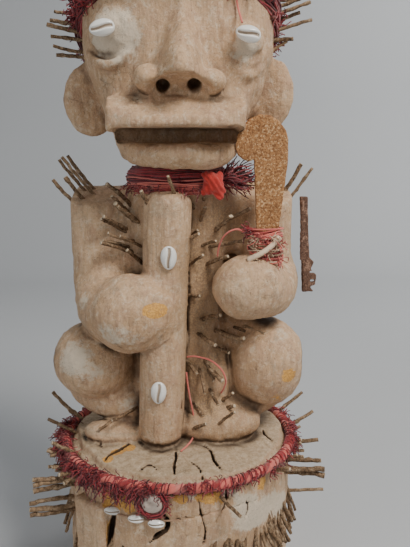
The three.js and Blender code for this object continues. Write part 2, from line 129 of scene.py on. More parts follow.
def make_object(name, points, quads=(), triangles=(), materials=(), slots=None, values=None):
    """An object from points in millimetres and arrays of four-sided and three-sided faces."""
    points = np.asarray(points, float)
    quads = np.asarray(quads, int).reshape(-1, 4)
    triangles = np.asarray(triangles, int).reshape(-1, 3)
    sizes = np.concatenate([np.full(len(quads), 4), np.full(len(triangles), 3)])
    corners = np.concatenate([quads.ravel(), triangles.ravel()])
    mesh = bpy.data.meshes.new(name)
    mesh.vertices.add(len(points))
    mesh.vertices.foreach_set("co", (points * MM).ravel())
    mesh.loops.add(len(corners))
    mesh.loops.foreach_set("vertex_index", corners)
    mesh.polygons.add(len(sizes))
    mesh.polygons.foreach_set("loop_start", np.concatenate([[0], np.cumsum(sizes)[:-1]]))
    mesh.polygons.foreach_set("loop_total", sizes)
    if slots is not None:
        mesh.polygons.foreach_set("material_index", np.asarray(slots, int))
    mesh.update(calc_edges=True)
    mesh.validate()
    mesh.shade_smooth()
    for material in materials:
        mesh.materials.append(material)
    for key, array in (values or {}).items():
        layer = mesh.attributes.new(key, "FLOAT", "POINT")
        layer.data.foreach_set("value", np.asarray(array, np.float32))
    made = bpy.data.objects.new(name, mesh)
    bpy.context.scene.collection.objects.link(made)
    return made


def mesh_points(made):
    flat = np.zeros(len(made.data.vertices) * 3)
    made.data.vertices.foreach_get("co", flat)
    return flat.reshape(-1, 3) / MM


def mesh_normals(made):
    flat = np.zeros(len(made.data.vertices) * 3)
    made.data.vertices.foreach_get("normal", flat)
    return flat.reshape(-1, 3)


def set_points(made, points):
    made.data.vertices.foreach_set("co", (points * MM).ravel())
    made.data.update()


def set_value(made, key, array):
    layer = made.data.attributes.get(key) or made.data.attributes.new(key, "FLOAT", "POINT")
    layer.data.foreach_set("value", np.asarray(array, np.float32))


def thin_out(made, most):
    """Collapses edges until the mesh has at most this many triangles."""
    count = sum(len(face.vertices) - 2 for face in made.data.polygons)
    if count <= most:
        return
    shrink = made.modifiers.new("thin", "DECIMATE")
    shrink.ratio = most / count
    bpy.context.view_layer.update()
    shrunk = bpy.data.meshes.new_from_object(made.evaluated_get(bpy.context.evaluated_depsgraph_get()))
    made.modifiers.clear()
    made.data = shrunk
    made.data.shade_smooth()


# Random but repeatable surfaces

def lumps(points, size, seed):
    """A smooth random field from -1 to 1 at points in millimetres, with lumps of about this size."""
    lattice = np.random.default_rng(seed).uniform(-1, 1, (32, 32, 32))
    scaled = np.asarray(points) / size + 9.37
    cell = np.floor(scaled).astype(int)
    part = scaled - cell
    part = part * part * (3 - 2 * part)
    total = np.zeros(len(scaled))
    for corner in np.ndindex(2, 2, 2):
        at = (cell + corner) % 32
        weight = np.prod(np.where(corner, part, 1 - part), axis=1)
        total += weight * lattice[at[:, 0], at[:, 1], at[:, 2]]
    return total


def rough(points, size, seed, octaves=3):
    """Several sizes of lumps added up, each half the size and half the height of the one before."""
    return sum(lumps(points, size / 2 ** k, seed + k) / 2 ** k for k in range(octaves))


# Solid shapes as distances on a grid

def smooth_min(a, b, reach):
    blend = np.maximum(reach - np.abs(a - b), 0) / reach if reach else 0
    return np.minimum(a, b) - blend * blend * reach / 4


def smooth_max(a, b, reach):
    return -smooth_min(-a, -b, reach)


def turned(x, y, degrees):
    c, s = math.cos(math.radians(degrees)), math.sin(math.radians(degrees))
    return c * x + s * y, c * y - s * x


def spline(values, count):
    """Catmull-Rom values through rows of numbers, evenly spread over the rows."""
    rows = np.asarray(values, float)
    padded = np.concatenate([[2 * rows[0] - rows[1]], rows, [2 * rows[-1] - rows[-2]]])
    t = np.linspace(0, len(rows) - 1, count)
    k = np.minimum(t.astype(int), len(rows) - 2)
    u = (t - k).reshape((-1,) + (1,) * (rows.ndim - 1))
    p0, p1, p2, p3 = (padded[k + i] for i in range(4))
    return 0.5 * (2 * p1 + (p2 - p0) * u + (2 * p0 - 5 * p1 + 4 * p2 - p3) * u ** 2
                  + (3 * p1 - p0 - 3 * p2 + p3) * u ** 3)


def egg(centre, radii, turn=0.0, lean=0.0):
    """An egg-shaped mass, turned about its upright axis and leant about its own X axis."""
    cx, cy, cz = centre
    rx, ry, rz = radii
    reach = np.full(3, max(radii)) if turn or lean else np.array(radii, float)

    def distance(x, y, z):
        u, v = turned(x - cx, y - cy, turn)
        v, w = turned(v, z - cz, lean)
        near = np.sqrt((u / rx) ** 2 + (v / ry) ** 2 + (w / rz) ** 2)
        slope = np.sqrt((u / rx ** 2) ** 2 + (v / ry ** 2) ** 2 + (w / rz ** 2) ** 2)
        return near * (near - 1) / np.maximum(slope, 1e-4)

    return np.array(centre) - reach, np.array(centre) + reach, distance


def limb(path, radii, squeeze=(1, 1, 1), pieces=10):
    """A round-ended limb along a smooth path; squeeze scales its section along each axis."""
    squeeze = np.array(squeeze, float)
    points = spline(path, pieces) / squeeze
    sizes = spline(radii, pieces) if len(radii) > 1 else np.full(pieces, float(radii[0]))
    largest = max(sizes)

    def distance(x, y, z):
        x, y, z = x / squeeze[0], y / squeeze[1], z / squeeze[2]
        nearest = None
        for a, b, ra, rb in zip(points[:-1], points[1:], sizes[:-1], sizes[1:]):
            step = b - a
            t = ((x - a[0]) * step[0] + (y - a[1]) * step[1] + (z - a[2]) * step[2]) / (step @ step)
            t = np.clip(t, 0, 1)
            gap = np.sqrt((x - a[0] - t * step[0]) ** 2 + (y - a[1] - t * step[1]) ** 2
                          + (z - a[2] - t * step[2]) ** 2) - ra - t * (rb - ra)
            nearest = gap if nearest is None else smooth_min(nearest, gap, 1.5)
        return nearest * min(squeeze)

    return (points.min(0) - largest) * squeeze, (points.max(0) + largest) * squeeze, distance


def post(foot, top, radius, rounding):
    """A straight round post with flat ends and rounded edges."""
    foot, top = np.array(foot, float), np.array(top, float)
    length = np.linalg.norm(top - foot)
    along = (top - foot) / length

    def distance(x, y, z):
        dx, dy, dz = x - foot[0], y - foot[1], z - foot[2]
        run = dx * along[0] + dy * along[1] + dz * along[2]
        side = np.sqrt(np.maximum(dx * dx + dy * dy + dz * dz - run * run, 0)) - radius + rounding
        end = np.abs(run - length / 2) - length / 2 + rounding
        outside = np.hypot(np.maximum(side, 0), np.maximum(end, 0))
        return outside + np.minimum(np.maximum(side, end), 0) - rounding

    return np.minimum(foot, top) - radius, np.maximum(foot, top) + radius, distance


def block(centre, halves, turn=0.0, rounding=1.0, lean=0.0):
    """A box with rounded edges, turned about its upright axis and leant in its own X-Z plane."""
    reach = np.full(3, np.linalg.norm(halves))

    def distance(x, y, z):
        u, v = turned(x - centre[0], y - centre[1], turn)
        u, w = turned(u, z - centre[2], lean)
        sides = [np.abs(value) - half + rounding for value, half in zip((u, v, w), halves)]
        outside = np.sqrt(sum(np.maximum(side, 0) ** 2 for side in sides))
        inside = np.minimum(np.maximum(np.maximum(sides[0], sides[1]), sides[2]), 0)
        return outside + inside - rounding

    return np.array(centre) - reach, np.array(centre) + reach, distance


def sliced(shape, point, outward, rounding=2.0):
    """A shape cut off by the plane through a point; outward points to the side that goes."""
    low, high, distance = shape
    outward = np.array(outward, float) / np.linalg.norm(outward)

    def cut_distance(x, y, z):
        beyond = (x - point[0]) * outward[0] + (y - point[1]) * outward[1] + (z - point[2]) * outward[2]
        return smooth_max(distance(x, y, z), beyond, rounding)

    return low, high, cut_distance


def standing_form(rows, square):
    """A form given by level rows: height, half width, depth in front, depth behind, sideways shift."""
    table = spline(rows, 160)[::-1]
    heights = table[:, 0]
    slopes = [np.abs(np.gradient(table[:, k], heights)) for k in (1, 2, 3)]
    widest = table[:, 1:4].max()

    def column(z, values):
        return np.interp(z, heights, values)

    def distance(x, y, z):
        half = np.maximum(column(z, table[:, 1]), 0.5)
        depth = np.where(y < 0, column(z, table[:, 2]), column(z, table[:, 3])).clip(0.5)
        slope = np.where(y < 0, column(z, slopes[1]), column(z, slopes[2]))
        across = x - column(z, table[:, 4])
        ratio = (np.abs(across / half) ** square + np.abs(y / depth) ** square) ** (1 / square)
        share = (across / half) ** 2 / np.maximum((across / half) ** 2 + (y / depth) ** 2, 1e-6)
        steep = share * column(z, slopes[0]) + (1 - share) * slope
        out = np.hypot(across, y) * (1 - 1 / np.maximum(ratio, 1e-3)) / np.sqrt(1 + np.minimum(steep, 6) ** 2)
        over = np.maximum(z - heights[-1], heights[0] - z)
        return np.maximum(np.maximum(out, over), -0.5 * np.minimum(half, depth))

    low = np.array([-widest, -widest, heights[0]])
    return low, np.array([widest, widest, heights[-1]]), distance


class Clay:
    """A solid kept as its signed distance on an even grid, to which shapes are added and cut away."""

    def __init__(self, low, high, step):
        self.low = np.array(low, float)
        self.step = step
        counts = np.ceil((np.array(high) - self.low) / step).astype(int) + 1
        self.value = np.full(counts, 40.0, np.float32)

    def near(self, low, high, margin):
        first = np.floor((low - margin - self.low) / self.step).astype(int)
        last = np.ceil((high + margin - self.low) / self.step).astype(int) + 1
        first = np.clip(first, 0, self.value.shape)
        last = np.clip(last, 0, self.value.shape)
        axes = [self.low[k] + self.step * np.arange(first[k], last[k]) for k in range(3)]
        spans = tuple(slice(a, b) for a, b in zip(first, last))
        return spans, np.meshgrid(*axes, indexing="ij", sparse=True)

    def add(self, shape, reach=0.0):
        low, high, distance = shape
        spans, place = self.near(low, high, 16 + reach)
        self.value[spans] = smooth_min(self.value[spans], distance(*place), reach)

    def cut(self, shape, reach=0.0):
        low, high, distance = shape
        spans, place = self.near(low, high, 2 + reach)
        self.value[spans] = smooth_max(self.value[spans], -distance(*place), reach)

    def at(self, points):
        """The distance at points in millimetres, linear between grid points."""
        scaled = (np.asarray(points) - self.low) / self.step
        cell = np.clip(np.floor(scaled).astype(int), 0, np.array(self.value.shape) - 2)
        part = np.clip(scaled - cell, 0, 1)
        total = np.zeros(len(scaled))
        for corner in np.ndindex(2, 2, 2):
            at = cell + corner
            weight = np.prod(np.where(corner, part, 1 - part), axis=1)
            total += weight * self.value[at[:, 0], at[:, 1], at[:, 2]]
        return total

    def surface(self, name, materials, most):
        """The solid's skin as an object with at most this many triangles."""
        edge = self.value
        for axis in range(3):
            ends = [slice(None)] * 3
            for side in (0, -1):
                ends[axis] = side
                edge[tuple(ends)] = np.maximum(edge[tuple(ends)], self.step)
        grid = openvdb.FloatGrid(3 * self.step)
        grid.copyFromArray(np.clip(edge, -3 * self.step, 3 * self.step))
        points, triangles, quads = grid.convertToPolygons(isovalue=0.0, adaptivity=0.0)
        made = make_object(name, self.low + points * self.step, quads, triangles, materials)
        thin_out(made, most)
        return made

    def shelter(self, made, depths=(3, 7, 14)):
        """How far each point of a skin lies in a recess, from 0 on open ground to 1 deep inside."""
        points, normals = mesh_points(made), mesh_normals(made)
        open_sky = [self.at(points + normals * depth) / depth for depth in depths]
        return np.clip(1 - np.mean(open_sky, axis=0), 0, 1)


# Materials

class Paint:
    """One procedural material, whose nodes read the object's own coordinates."""

    def __init__(self, name, roughness, metallic=0.0, specular=0.3):
        self.material = bpy.data.materials.new(name)
        self.material.use_nodes = True
        self.tree = self.material.node_tree
        self.shader = self.tree.nodes["Principled BSDF"]
        self.shader.inputs["Metallic"].default_value = metallic
        self.shader.inputs["Specular IOR Level"].default_value = specular
        self.shader.inputs["Roughness"].default_value = roughness
        self.place = self.tree.nodes.new("ShaderNodeTexCoord").outputs["Object"]

    def put(self, socket, value):
        if isinstance(value, bpy.types.NodeSocket):
            self.tree.links.new(value, socket)
        elif isinstance(value, tuple) and len(value) == 3 and socket.type == "RGBA":
            socket.default_value = (*value, 1.0)
        else:
            socket.default_value = value

    def stretched(self, scale):
        made = self.tree.nodes.new("ShaderNodeMapping")
        made.inputs["Scale"].default_value = scale
        self.put(made.inputs["Vector"], self.place)
        return made.outputs["Vector"]

    def noise(self, size, detail=4.0, rough_part=0.55, distortion=0.0, stretch=None):
        """Noise with lumps of about this size in millimetres."""
        made = self.tree.nodes.new("ShaderNodeTexNoise")
        made.inputs["Scale"].default_value = 1 / (size * MM)
        made.inputs["Detail"].default_value = detail
        made.inputs["Roughness"].default_value = rough_part
        made.inputs["Distortion"].default_value = distortion
        self.put(made.inputs["Vector"], self.stretched(stretch) if stretch else self.place)
        return made.outputs["Fac"]

    def cells(self, size, feature="F1", stretch=None, warp=None):
        made = self.tree.nodes.new("ShaderNodeTexVoronoi")
        made.feature = feature
        made.inputs["Scale"].default_value = 1 / (size * MM)
        place = self.stretched(stretch) if stretch else self.place
        if warp:
            soft = self.tree.nodes.new("ShaderNodeTexNoise")
            soft.inputs["Scale"].default_value = 1 / (size * MM)
            self.put(soft.inputs["Vector"], place)
            moved = self.tree.nodes.new("ShaderNodeVectorMath")
            moved.operation = "MULTIPLY_ADD"
            self.put(moved.inputs[0], soft.outputs["Color"])
            moved.inputs[1].default_value = (warp * MM,) * 3
            self.put(moved.inputs[2], place)
            place = moved.outputs["Vector"]
        self.put(made.inputs["Vector"], place)
        return made.outputs["Distance"]

    def value(self, key):
        made = self.tree.nodes.new("ShaderNodeAttribute")
        made.attribute_name = key
        return made.outputs["Fac"]

    def maths(self, operation, *values):
        made = self.tree.nodes.new("ShaderNodeMath")
        made.operation = operation
        for socket, value in zip(made.inputs, values):
            self.put(socket, value)
        return made.outputs["Value"]

    def step(self, value, low, high):
        """Rises smoothly from 0 at low to 1 at high, or falls where low is above high."""
        made = self.tree.nodes.new("ShaderNodeMapRange")
        made.interpolation_type = "SMOOTHSTEP"
        self.put(made.inputs["Value"], value)
        made.inputs["From Min"].default_value = min(low, high)
        made.inputs["From Max"].default_value = max(low, high)
        made.inputs["To Min"].default_value = 0.0 if low < high else 1.0
        made.inputs["To Max"].default_value = 1.0 if low < high else 0.0
        return made.outputs["Result"]

    def mix(self, factor, first, second, blend="MIX"):
        made = self.tree.nodes.new("ShaderNodeMix")
        made.data_type = "RGBA"
        made.blend_type = blend
        self.put(made.inputs[0], factor)
        self.put(made.inputs[6], first)
        self.put(made.inputs[7], second)
        return made.outputs[2]

    def bump(self, height, depth):
        """Relief of this depth in millimetres, on top of the relief added before it."""
        made = self.tree.nodes.new("ShaderNodeBump")
        made.inputs["Strength"].default_value = 1.0
        made.inputs["Distance"].default_value = depth * MM
        self.put(made.inputs["Height"], height)
        normal = self.shader.inputs["Normal"]
        if normal.links:
            self.put(made.inputs["Normal"], normal.links[0].from_socket)
        self.put(normal, made.outputs["Normal"])

    def finish(self, colour, roughness=None):
        self.put(self.shader.inputs["Base Color"], colour)
        if roughness is not None:
            self.put(self.shader.inputs["Roughness"], roughness)
        return self.material


def clay_material():
    paint = Paint("clay_crust", 0.9, specular=0.2)
    broad = paint.noise(60, 5, 0.6)
    cloud = paint.noise(15, 7, 0.68)
    middle = paint.noise(5.5, 6, 0.7, 0.4)
    fine = paint.noise(1.9, 5, 0.72)
    colour = paint.mix(paint.step(broad, 0.36, 0.64), (0.56, 0.35, 0.195), (0.68, 0.46, 0.275))
    colour = paint.mix(paint.step(cloud, 0.42, 0.66), colour, (0.54, 0.335, 0.205))
    pale = paint.maths("MULTIPLY", paint.step(paint.noise(9, 9, 0.74, 0.7), 0.52, 0.64), 0.7)
    colour = paint.mix(pale, colour, (0.74, 0.59, 0.42))
    greys = paint.step(paint.noise(26, 8, 0.7, 0.5), 0.55, 0.68)
    colour = paint.mix(paint.maths("MULTIPLY", greys, 0.6), colour, (0.37, 0.28, 0.19))
    grain = paint.noise(4.2, 6, 0.68, stretch=(1.0, 1.0, 0.13))
    colour = paint.mix(paint.maths("MULTIPLY", paint.step(grain, 0.5, 0.64), 0.45), colour, (0.34, 0.21, 0.125))
    colour = paint.mix(paint.maths("MULTIPLY", paint.step(grain, 0.46, 0.34), 0.35), colour, (0.78, 0.61, 0.43))
    colour = paint.mix(paint.maths("MULTIPLY", paint.step(middle, 0.53, 0.68), 0.5), colour, (0.36, 0.225, 0.14))
    colour = paint.mix(paint.maths("MULTIPLY", paint.step(middle, 0.45, 0.33), 0.4), colour, (0.82, 0.66, 0.47))
    loam = paint.mix(paint.step(fine, 0.36, 0.62), (0.19, 0.105, 0.055), (0.56, 0.37, 0.20))
    colour = paint.mix(paint.value("brown"), colour, loam)
    dry_mud = paint.mix(paint.step(middle, 0.35, 0.65), (0.37, 0.27, 0.165), (0.57, 0.45, 0.31))
    colour = paint.mix(paint.maths("MULTIPLY", paint.value("grey"), 0.85), colour, dry_mud)
    ragged = paint.maths("ADD", paint.value("white"), paint.maths("MULTIPLY", paint.noise(6, 8, 0.74), 0.9))
    wash = paint.maths("MULTIPLY", paint.step(ragged, 0.82, 1.02), 0.8)
    colour = paint.mix(wash, colour, paint.mix(middle, (0.62, 0.52, 0.39), (0.80, 0.70, 0.55)))
    ragged = paint.maths("ADD", paint.value("ochre"), paint.maths("MULTIPLY", paint.noise(4, 5, 0.65), 0.5))
    ochre = paint.mix(paint.step(fine, 0.35, 0.65), (0.50, 0.22, 0.045), (0.82, 0.46, 0.13))
    colour = paint.mix(paint.step(ragged, 0.72, 0.8), colour, ochre)
    specks = paint.step(paint.noise(1.3, 3, 0.6), 0.6, 0.68)
    patchy = paint.step(paint.noise(20, 4), 0.4, 0.6)
    dark_specks = paint.maths("MULTIPLY", paint.maths("MULTIPLY", specks, patchy), 0.7)
    colour = paint.mix(dark_specks, colour, (0.12, 0.07, 0.04))
    colour = paint.mix(paint.maths("MULTIPLY", paint.step(fine, 0.46, 0.3), 0.45), colour, (0.88, 0.73, 0.54))
    # Painted shade, with some grime: the clay goes near-black by how deep a point lies in a recess, so hollows, the
    # mouth and the underside of the nose are painted dark
    uneven = paint.maths("MULTIPLY", paint.maths("SUBTRACT", cloud, 0.5), 0.3)
    recess = paint.maths("ADD", paint.value("shelter"), uneven)
    colour = paint.mix(paint.maths("MULTIPLY", paint.step(recess, 0.2, 0.85), 0.93), colour, (0.06, 0.034, 0.02))
    hair_cracks = paint.cells(17, "DISTANCE_TO_EDGE", warp=22)
    where = paint.step(paint.noise(38, 4), 0.58, 0.66)
    line = paint.maths("MULTIPLY", paint.step(hair_cracks, 0.012, 0.0), where)
    colour = paint.mix(paint.maths("MULTIPLY", line, 0.55), colour, (0.11, 0.065, 0.04))
    paint.bump(cloud, 2.0)
    paint.bump(middle, 0.9)
    paint.bump(grain, 0.9)
    paint.bump(fine, 0.55)
    paint.bump(paint.maths("SUBTRACT", 1.0, line), 0.5)
    return paint.finish(colour, paint.step(fine, 1.9, -0.6))


def bark_material(name, dark, light):
    paint = Paint(name, 0.85, specular=0.25)
    tone = paint.value("tone")
    streak = paint.noise(2.4, 6, 0.72)
    colour = paint.mix(paint.step(streak, 0.38, 0.62), dark, light)
    colour = paint.mix(paint.maths("MULTIPLY", tone, 0.35), colour, (0.50, 0.34, 0.20))
    dust = paint.step(paint.noise(5, 6, 0.74), 0.5, 0.62)
    colour = paint.mix(paint.maths("MULTIPLY", dust, 0.55), colour, (0.58, 0.43, 0.28))
    scars = paint.step(paint.noise(3.2, 4, 0.65, 0.8), 0.42, 0.34)
    colour = paint.mix(paint.maths("MULTIPLY", scars, 0.8), colour, (0.035, 0.02, 0.012))
    paint.bump(streak, 0.9)
    paint.bump(paint.noise(1.0, 3), 0.35)
    return paint.finish(colour)


def cut_wood_material():
    paint = Paint("cut_wood", 0.8, specular=0.25)
    colour = paint.mix(paint.noise(1.6, 4, 0.7), (0.46, 0.33, 0.20), (0.72, 0.60, 0.43))
    paint.bump(paint.noise(0.8, 3), 0.2)
    return paint.finish(colour)


def yarn_material(name, dark, light, sheen=0.3):
    paint = Paint(name, 0.95, specular=0.12)
    paint.shader.inputs["Sheen Weight"].default_value = sheen
    paint.shader.inputs["Sheen Roughness"].default_value = 0.5
    tone = paint.maths("ADD", paint.value("tone"), paint.maths("MULTIPLY", paint.noise(9, 3), 0.6))
    colour = paint.mix(paint.step(tone, 0.3, 1.3), dark, light)
    dusty = paint.step(paint.noise(14, 5, 0.65), 0.52, 0.72)
    colour = paint.mix(paint.maths("MULTIPLY", dusty, 0.35), colour, (0.42, 0.30, 0.24))
    paint.bump(paint.noise(0.7, 3, 0.6), 0.35)
    return paint.finish(colour)


def cowrie_material():
    paint = Paint("cowrie", 0.28, specular=0.5)
    paint.shader.inputs["Coat Weight"].default_value = 0.3
    paint.shader.inputs["Coat Roughness"].default_value = 0.15
    colour = paint.mix(paint.noise(7, 4), (0.80, 0.77, 0.69), (0.90, 0.88, 0.83))
    # Darker brown, and rougher, in the slot and over the sides and back of each shell
    slot_and_back_brown = paint.mix(paint.noise(2, 4), (0.33, 0.24, 0.17), (0.52, 0.41, 0.31))
    colour = paint.mix(paint.step(paint.value("slot_and_back_brown"), 0.3, 0.7), colour, slot_and_back_brown)
    paint.bump(paint.noise(2.5, 3), 0.12)
    return paint.finish(colour, paint.step(paint.value("slot_and_back_brown"), -0.45, 1.1))


def dull_shell_material():
    paint = Paint("dull_shell", 0.6, specular=0.35)
    colour = paint.mix(paint.noise(5, 6, 0.65), (0.44, 0.31, 0.24), (0.74, 0.65, 0.56))
    paint.bump(paint.noise(2.4, 5, 0.7), 0.8)
    return paint.finish(colour)


def rust_material(name, dark, middle, light, speck):
    paint = Paint(name, 0.75, metallic=0.15, specular=0.35)
    fine = paint.noise(1.5, 4, 0.7)
    broad = paint.noise(12, 6, 0.65)
    colour = paint.mix(paint.step(fine, 0.36, 0.62), dark, middle)
    colour = paint.mix(paint.maths("MULTIPLY", paint.step(paint.noise(speck, 4, 0.7), 0.52, 0.64), 0.8), colour, light)
    colour = paint.mix(paint.maths("MULTIPLY", paint.step(broad, 0.5, 0.7), 0.4), colour, dark)
    paint.bump(fine, 0.5)
    paint.bump(broad, 0.5)
    return paint.finish(colour, paint.step(fine, -0.6, 1.0))


CLAY = clay_material()
BARK = bark_material("twig_bark", (0.06, 0.034, 0.018), (0.27, 0.165, 0.09))
CUT_WOOD = cut_wood_material()
DARK_YARN = yarn_material("dark_red_yarn", (0.075, 0.006, 0.010), (0.42, 0.055, 0.06))
PINK_YARN = yarn_material("pink_red_yarn", (0.30, 0.04, 0.04), (0.80, 0.22, 0.17))
RED_CLOTH = yarn_material("red_cloth", (0.30, 0.012, 0.014), (0.66, 0.07, 0.05))
FIBRE = yarn_material("pale_fibre", (0.34, 0.20, 0.12), (0.78, 0.60, 0.42), sheen=0.1)
COWRIE = cowrie_material()
DULL_SHELL = dull_shell_material()
BLADE_RUST = rust_material("blade_rust", (0.19, 0.075, 0.025), (0.50, 0.25, 0.10), (0.80, 0.52, 0.27), 2.0)
KEY_RUST = rust_material("key_rust", (0.07, 0.034, 0.022), (0.22, 0.12, 0.08), (0.46, 0.28, 0.19), 3.5)


def dress(made, slot_name, *nodes):
    """The piece moves with the part and stands for CAD nodes, which are hidden; slot_name is not used."""
    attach(made, "root")
    if nodes:
        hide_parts(*nodes)
    return made


# Free threads, each the route of its CAD solid

THREAD_DIAMETER = 1.8
THREAD_ROUTES = {
    "hanging_thread": [
        (8, -34, 238), (9.2, -36, 227), (11, -37, 215), (13.2, -37.5, 203), (15.4, -38, 191), (16, -39.5, 180),
        (13.5, -44, 171.5), (8.5, -52, 168.6), (2, -62, 167.6),
    ],
    "lap_thread": [
        (8.8, -36, 254.5), (15, -38, 255.8), (23, -37, 254), (31, -37.5, 251.5), (38, -39, 247),
        (44, -42, 240.5), (46.8, -42.5, 231.5), (45.5, -38, 222.5), (43, -31.5, 214.5),
    ],
    "chest_thread": [
        (63, -46, 379), (57, -46.5, 382), (50.5, -45, 380.5), (45, -42, 376), (41.5, -38.5, 369.5),
        (39.5, -35, 362), (38.6, -32.5, 354.3),
    ],
    "brow_thread": [
        (50.8, -61, 593), (51.8, -59, 586.5), (53, -56.5, 579), (54.4, -57.5, 572), (55.6, -62, 566),
        (56.6, -66.5, 560.5),
    ],
}


def tubes(paths, radii, sides, start=0):
    """Points and faces of many tubes at once: paths are tube by step by XYZ, radii tube by step."""
    paths = np.asarray(paths, float)
    count, steps, _ = paths.shape
    along = np.gradient(paths, axis=1)
    along /= np.maximum(np.linalg.norm(along, axis=2, keepdims=True), 1e-9)
    chord = paths[:, -1] - paths[:, 0]
    aside = np.where(np.abs(chord[:, 2:3]) > 0.7 * np.linalg.norm(chord, axis=1, keepdims=True), [[1.0, 0, 0]], [[0, 0, 1.0]])
    across = np.cross(along, aside[:, None, :])
    across /= np.maximum(np.linalg.norm(across, axis=2, keepdims=True), 1e-9)
    other = np.cross(across, along)
    angles = np.arange(sides) * 2 * math.pi / sides
    radii = np.broadcast_to(np.asarray(radii, float), (count, steps))[:, :, None, None]
    rings = (across[:, :, None] * np.cos(angles)[:, None] + other[:, :, None] * np.sin(angles)[:, None]) * radii
    points = (paths[:, :, None] + rings).reshape(-1, 3)
    base = start + (np.arange(count)[:, None, None] * steps + np.arange(steps - 1)[None, :, None]) * sides
    here, there = np.arange(sides), (np.arange(sides) + 1) % sides
    quads = np.stack([base + here, base + there, base + sides + there, base + sides + here], axis=-1).reshape(-1, 4)
    fan = np.stack([np.zeros(sides - 2, int), np.arange(1, sides - 1), np.arange(2, sides)], axis=-1)
    first = start + np.arange(count)[:, None, None] * steps * sides
    caps = np.concatenate([(first + fan[:, ::-1]).reshape(-1, 3), (first + (steps - 1) * sides + fan).reshape(-1, 3)])
    return points, quads, caps


def strands(name, paths, radius, materials, sides=3, tone=None, taper=1.0):
    """Many thin strands as one object. Each strand has its own tone."""
    paths = np.asarray(paths, float)
    count, steps, _ = paths.shape
    sizes = radius * np.linspace(1, taper, steps)
    points, quads, caps = tubes(paths, sizes, sides)
    tone = np.random.default_rng(SEED + count).uniform(0, 1, count) if tone is None else np.full(count, tone)
    return make_object(name, points, quads, caps, materials, values={"tone": np.repeat(tone, steps * sides)})


def make_threads():
    for name, route in THREAD_ROUTES.items():
        path = spline(route, 10 * len(route))
        made = strands(f"{name}_red", path[None], THREAD_DIAMETER / 2, [PINK_YARN], sides=8, tone=0.8)
        dress(made, "red_thread", name)


make_threads()


# The carving

DRUM_RADIUS = 118.0
RIM_HEIGHT = 160.0
SEAT_HEIGHT = 172.0
HORN_RADIUS = 22.0
HORN_FOOT = (-18.5, -39, 168)
HORN_TOP = (-8, -38, 416)

HEAD_ROWS = [
    [648, 0, 0, 0, 2], [644, 34, 28, 36, 2], [626, 66, 50, 66, 2], [600, 84, 60, 84, 2], [572, 88, 62, 92, 2],
    [545, 89, 62, 90, 3], [522, 84, 62, 80, 3], [500, 76, 62, 66, 3], [480, 64, 60, 54, 2], [460, 54, 54, 46, 1],
    [442, 40, 40, 36, 1], [437, 0, 0, 0, 1],
]
TORSO_ROWS = [
    [434, 0, 0, 0, 2], [428, 38, 24, 38, 2], [408, 58, 26, 46, 3], [380, 50, 26, 47, 3], [340, 42, 25, 43, 3],
    [300, 39, 26, 42, 3], [262, 43, 27, 46, 3], [215, 58, 26, 66, 3], [172, 64, 24, 70, 3], [160, 0, 0, 0, 3],
]


def drum():
    def distance(x, y, z):
        radius = np.hypot(x, y)
        angle = np.arctan2(y, x)
        waist = 1.6 * np.exp(-((z - 84) / 14) ** 2)
        wobble = 0.8 * np.sin(3 * angle + 0.5) + 0.6 * np.sin(7 * angle + z / 40)
        side = radius - (DRUM_RADIUS - 1.5 - waist + wobble)
        swell = 1.2 * np.sin(x / 31 + 0.6) * np.sin(y / 27) + 0.7 * np.sin(x / 11 + y / 17) * np.sin(y / 9 + 1)
        # The dried crust of the seat breaks off short of the cord, farther in on the right
        edge = 107.5 - 5.5 * np.cos(angle + 0.75 * math.pi) ** 3 + 1.8 * np.sin(5 * angle) + 1.2 * np.sin(13 * angle)
        broken = np.clip((radius - edge) / 2.2, 0, 1)
        top = (z - SEAT_HEIGHT + 0.075 * radius - swell + 4.5 * broken) * 0.95
        return smooth_max(smooth_max(side, top, 5), -z, 1.5)

    reach = DRUM_RADIUS + 2
    return np.array([-reach, -reach, 0]), np.array([reach, reach, SEAT_HEIGHT + 3]), distance


def rim_ledge():
    """The ledge that the rim cord lies in."""
    def distance(x, y, z):
        return np.hypot(np.hypot(x, y) - DRUM_RADIUS, z - RIM_HEIGHT) - 7

    reach = DRUM_RADIUS + 8
    return np.array([-reach, -reach, RIM_HEIGHT - 8]), np.array([reach, reach, RIM_HEIGHT + 8]), distance


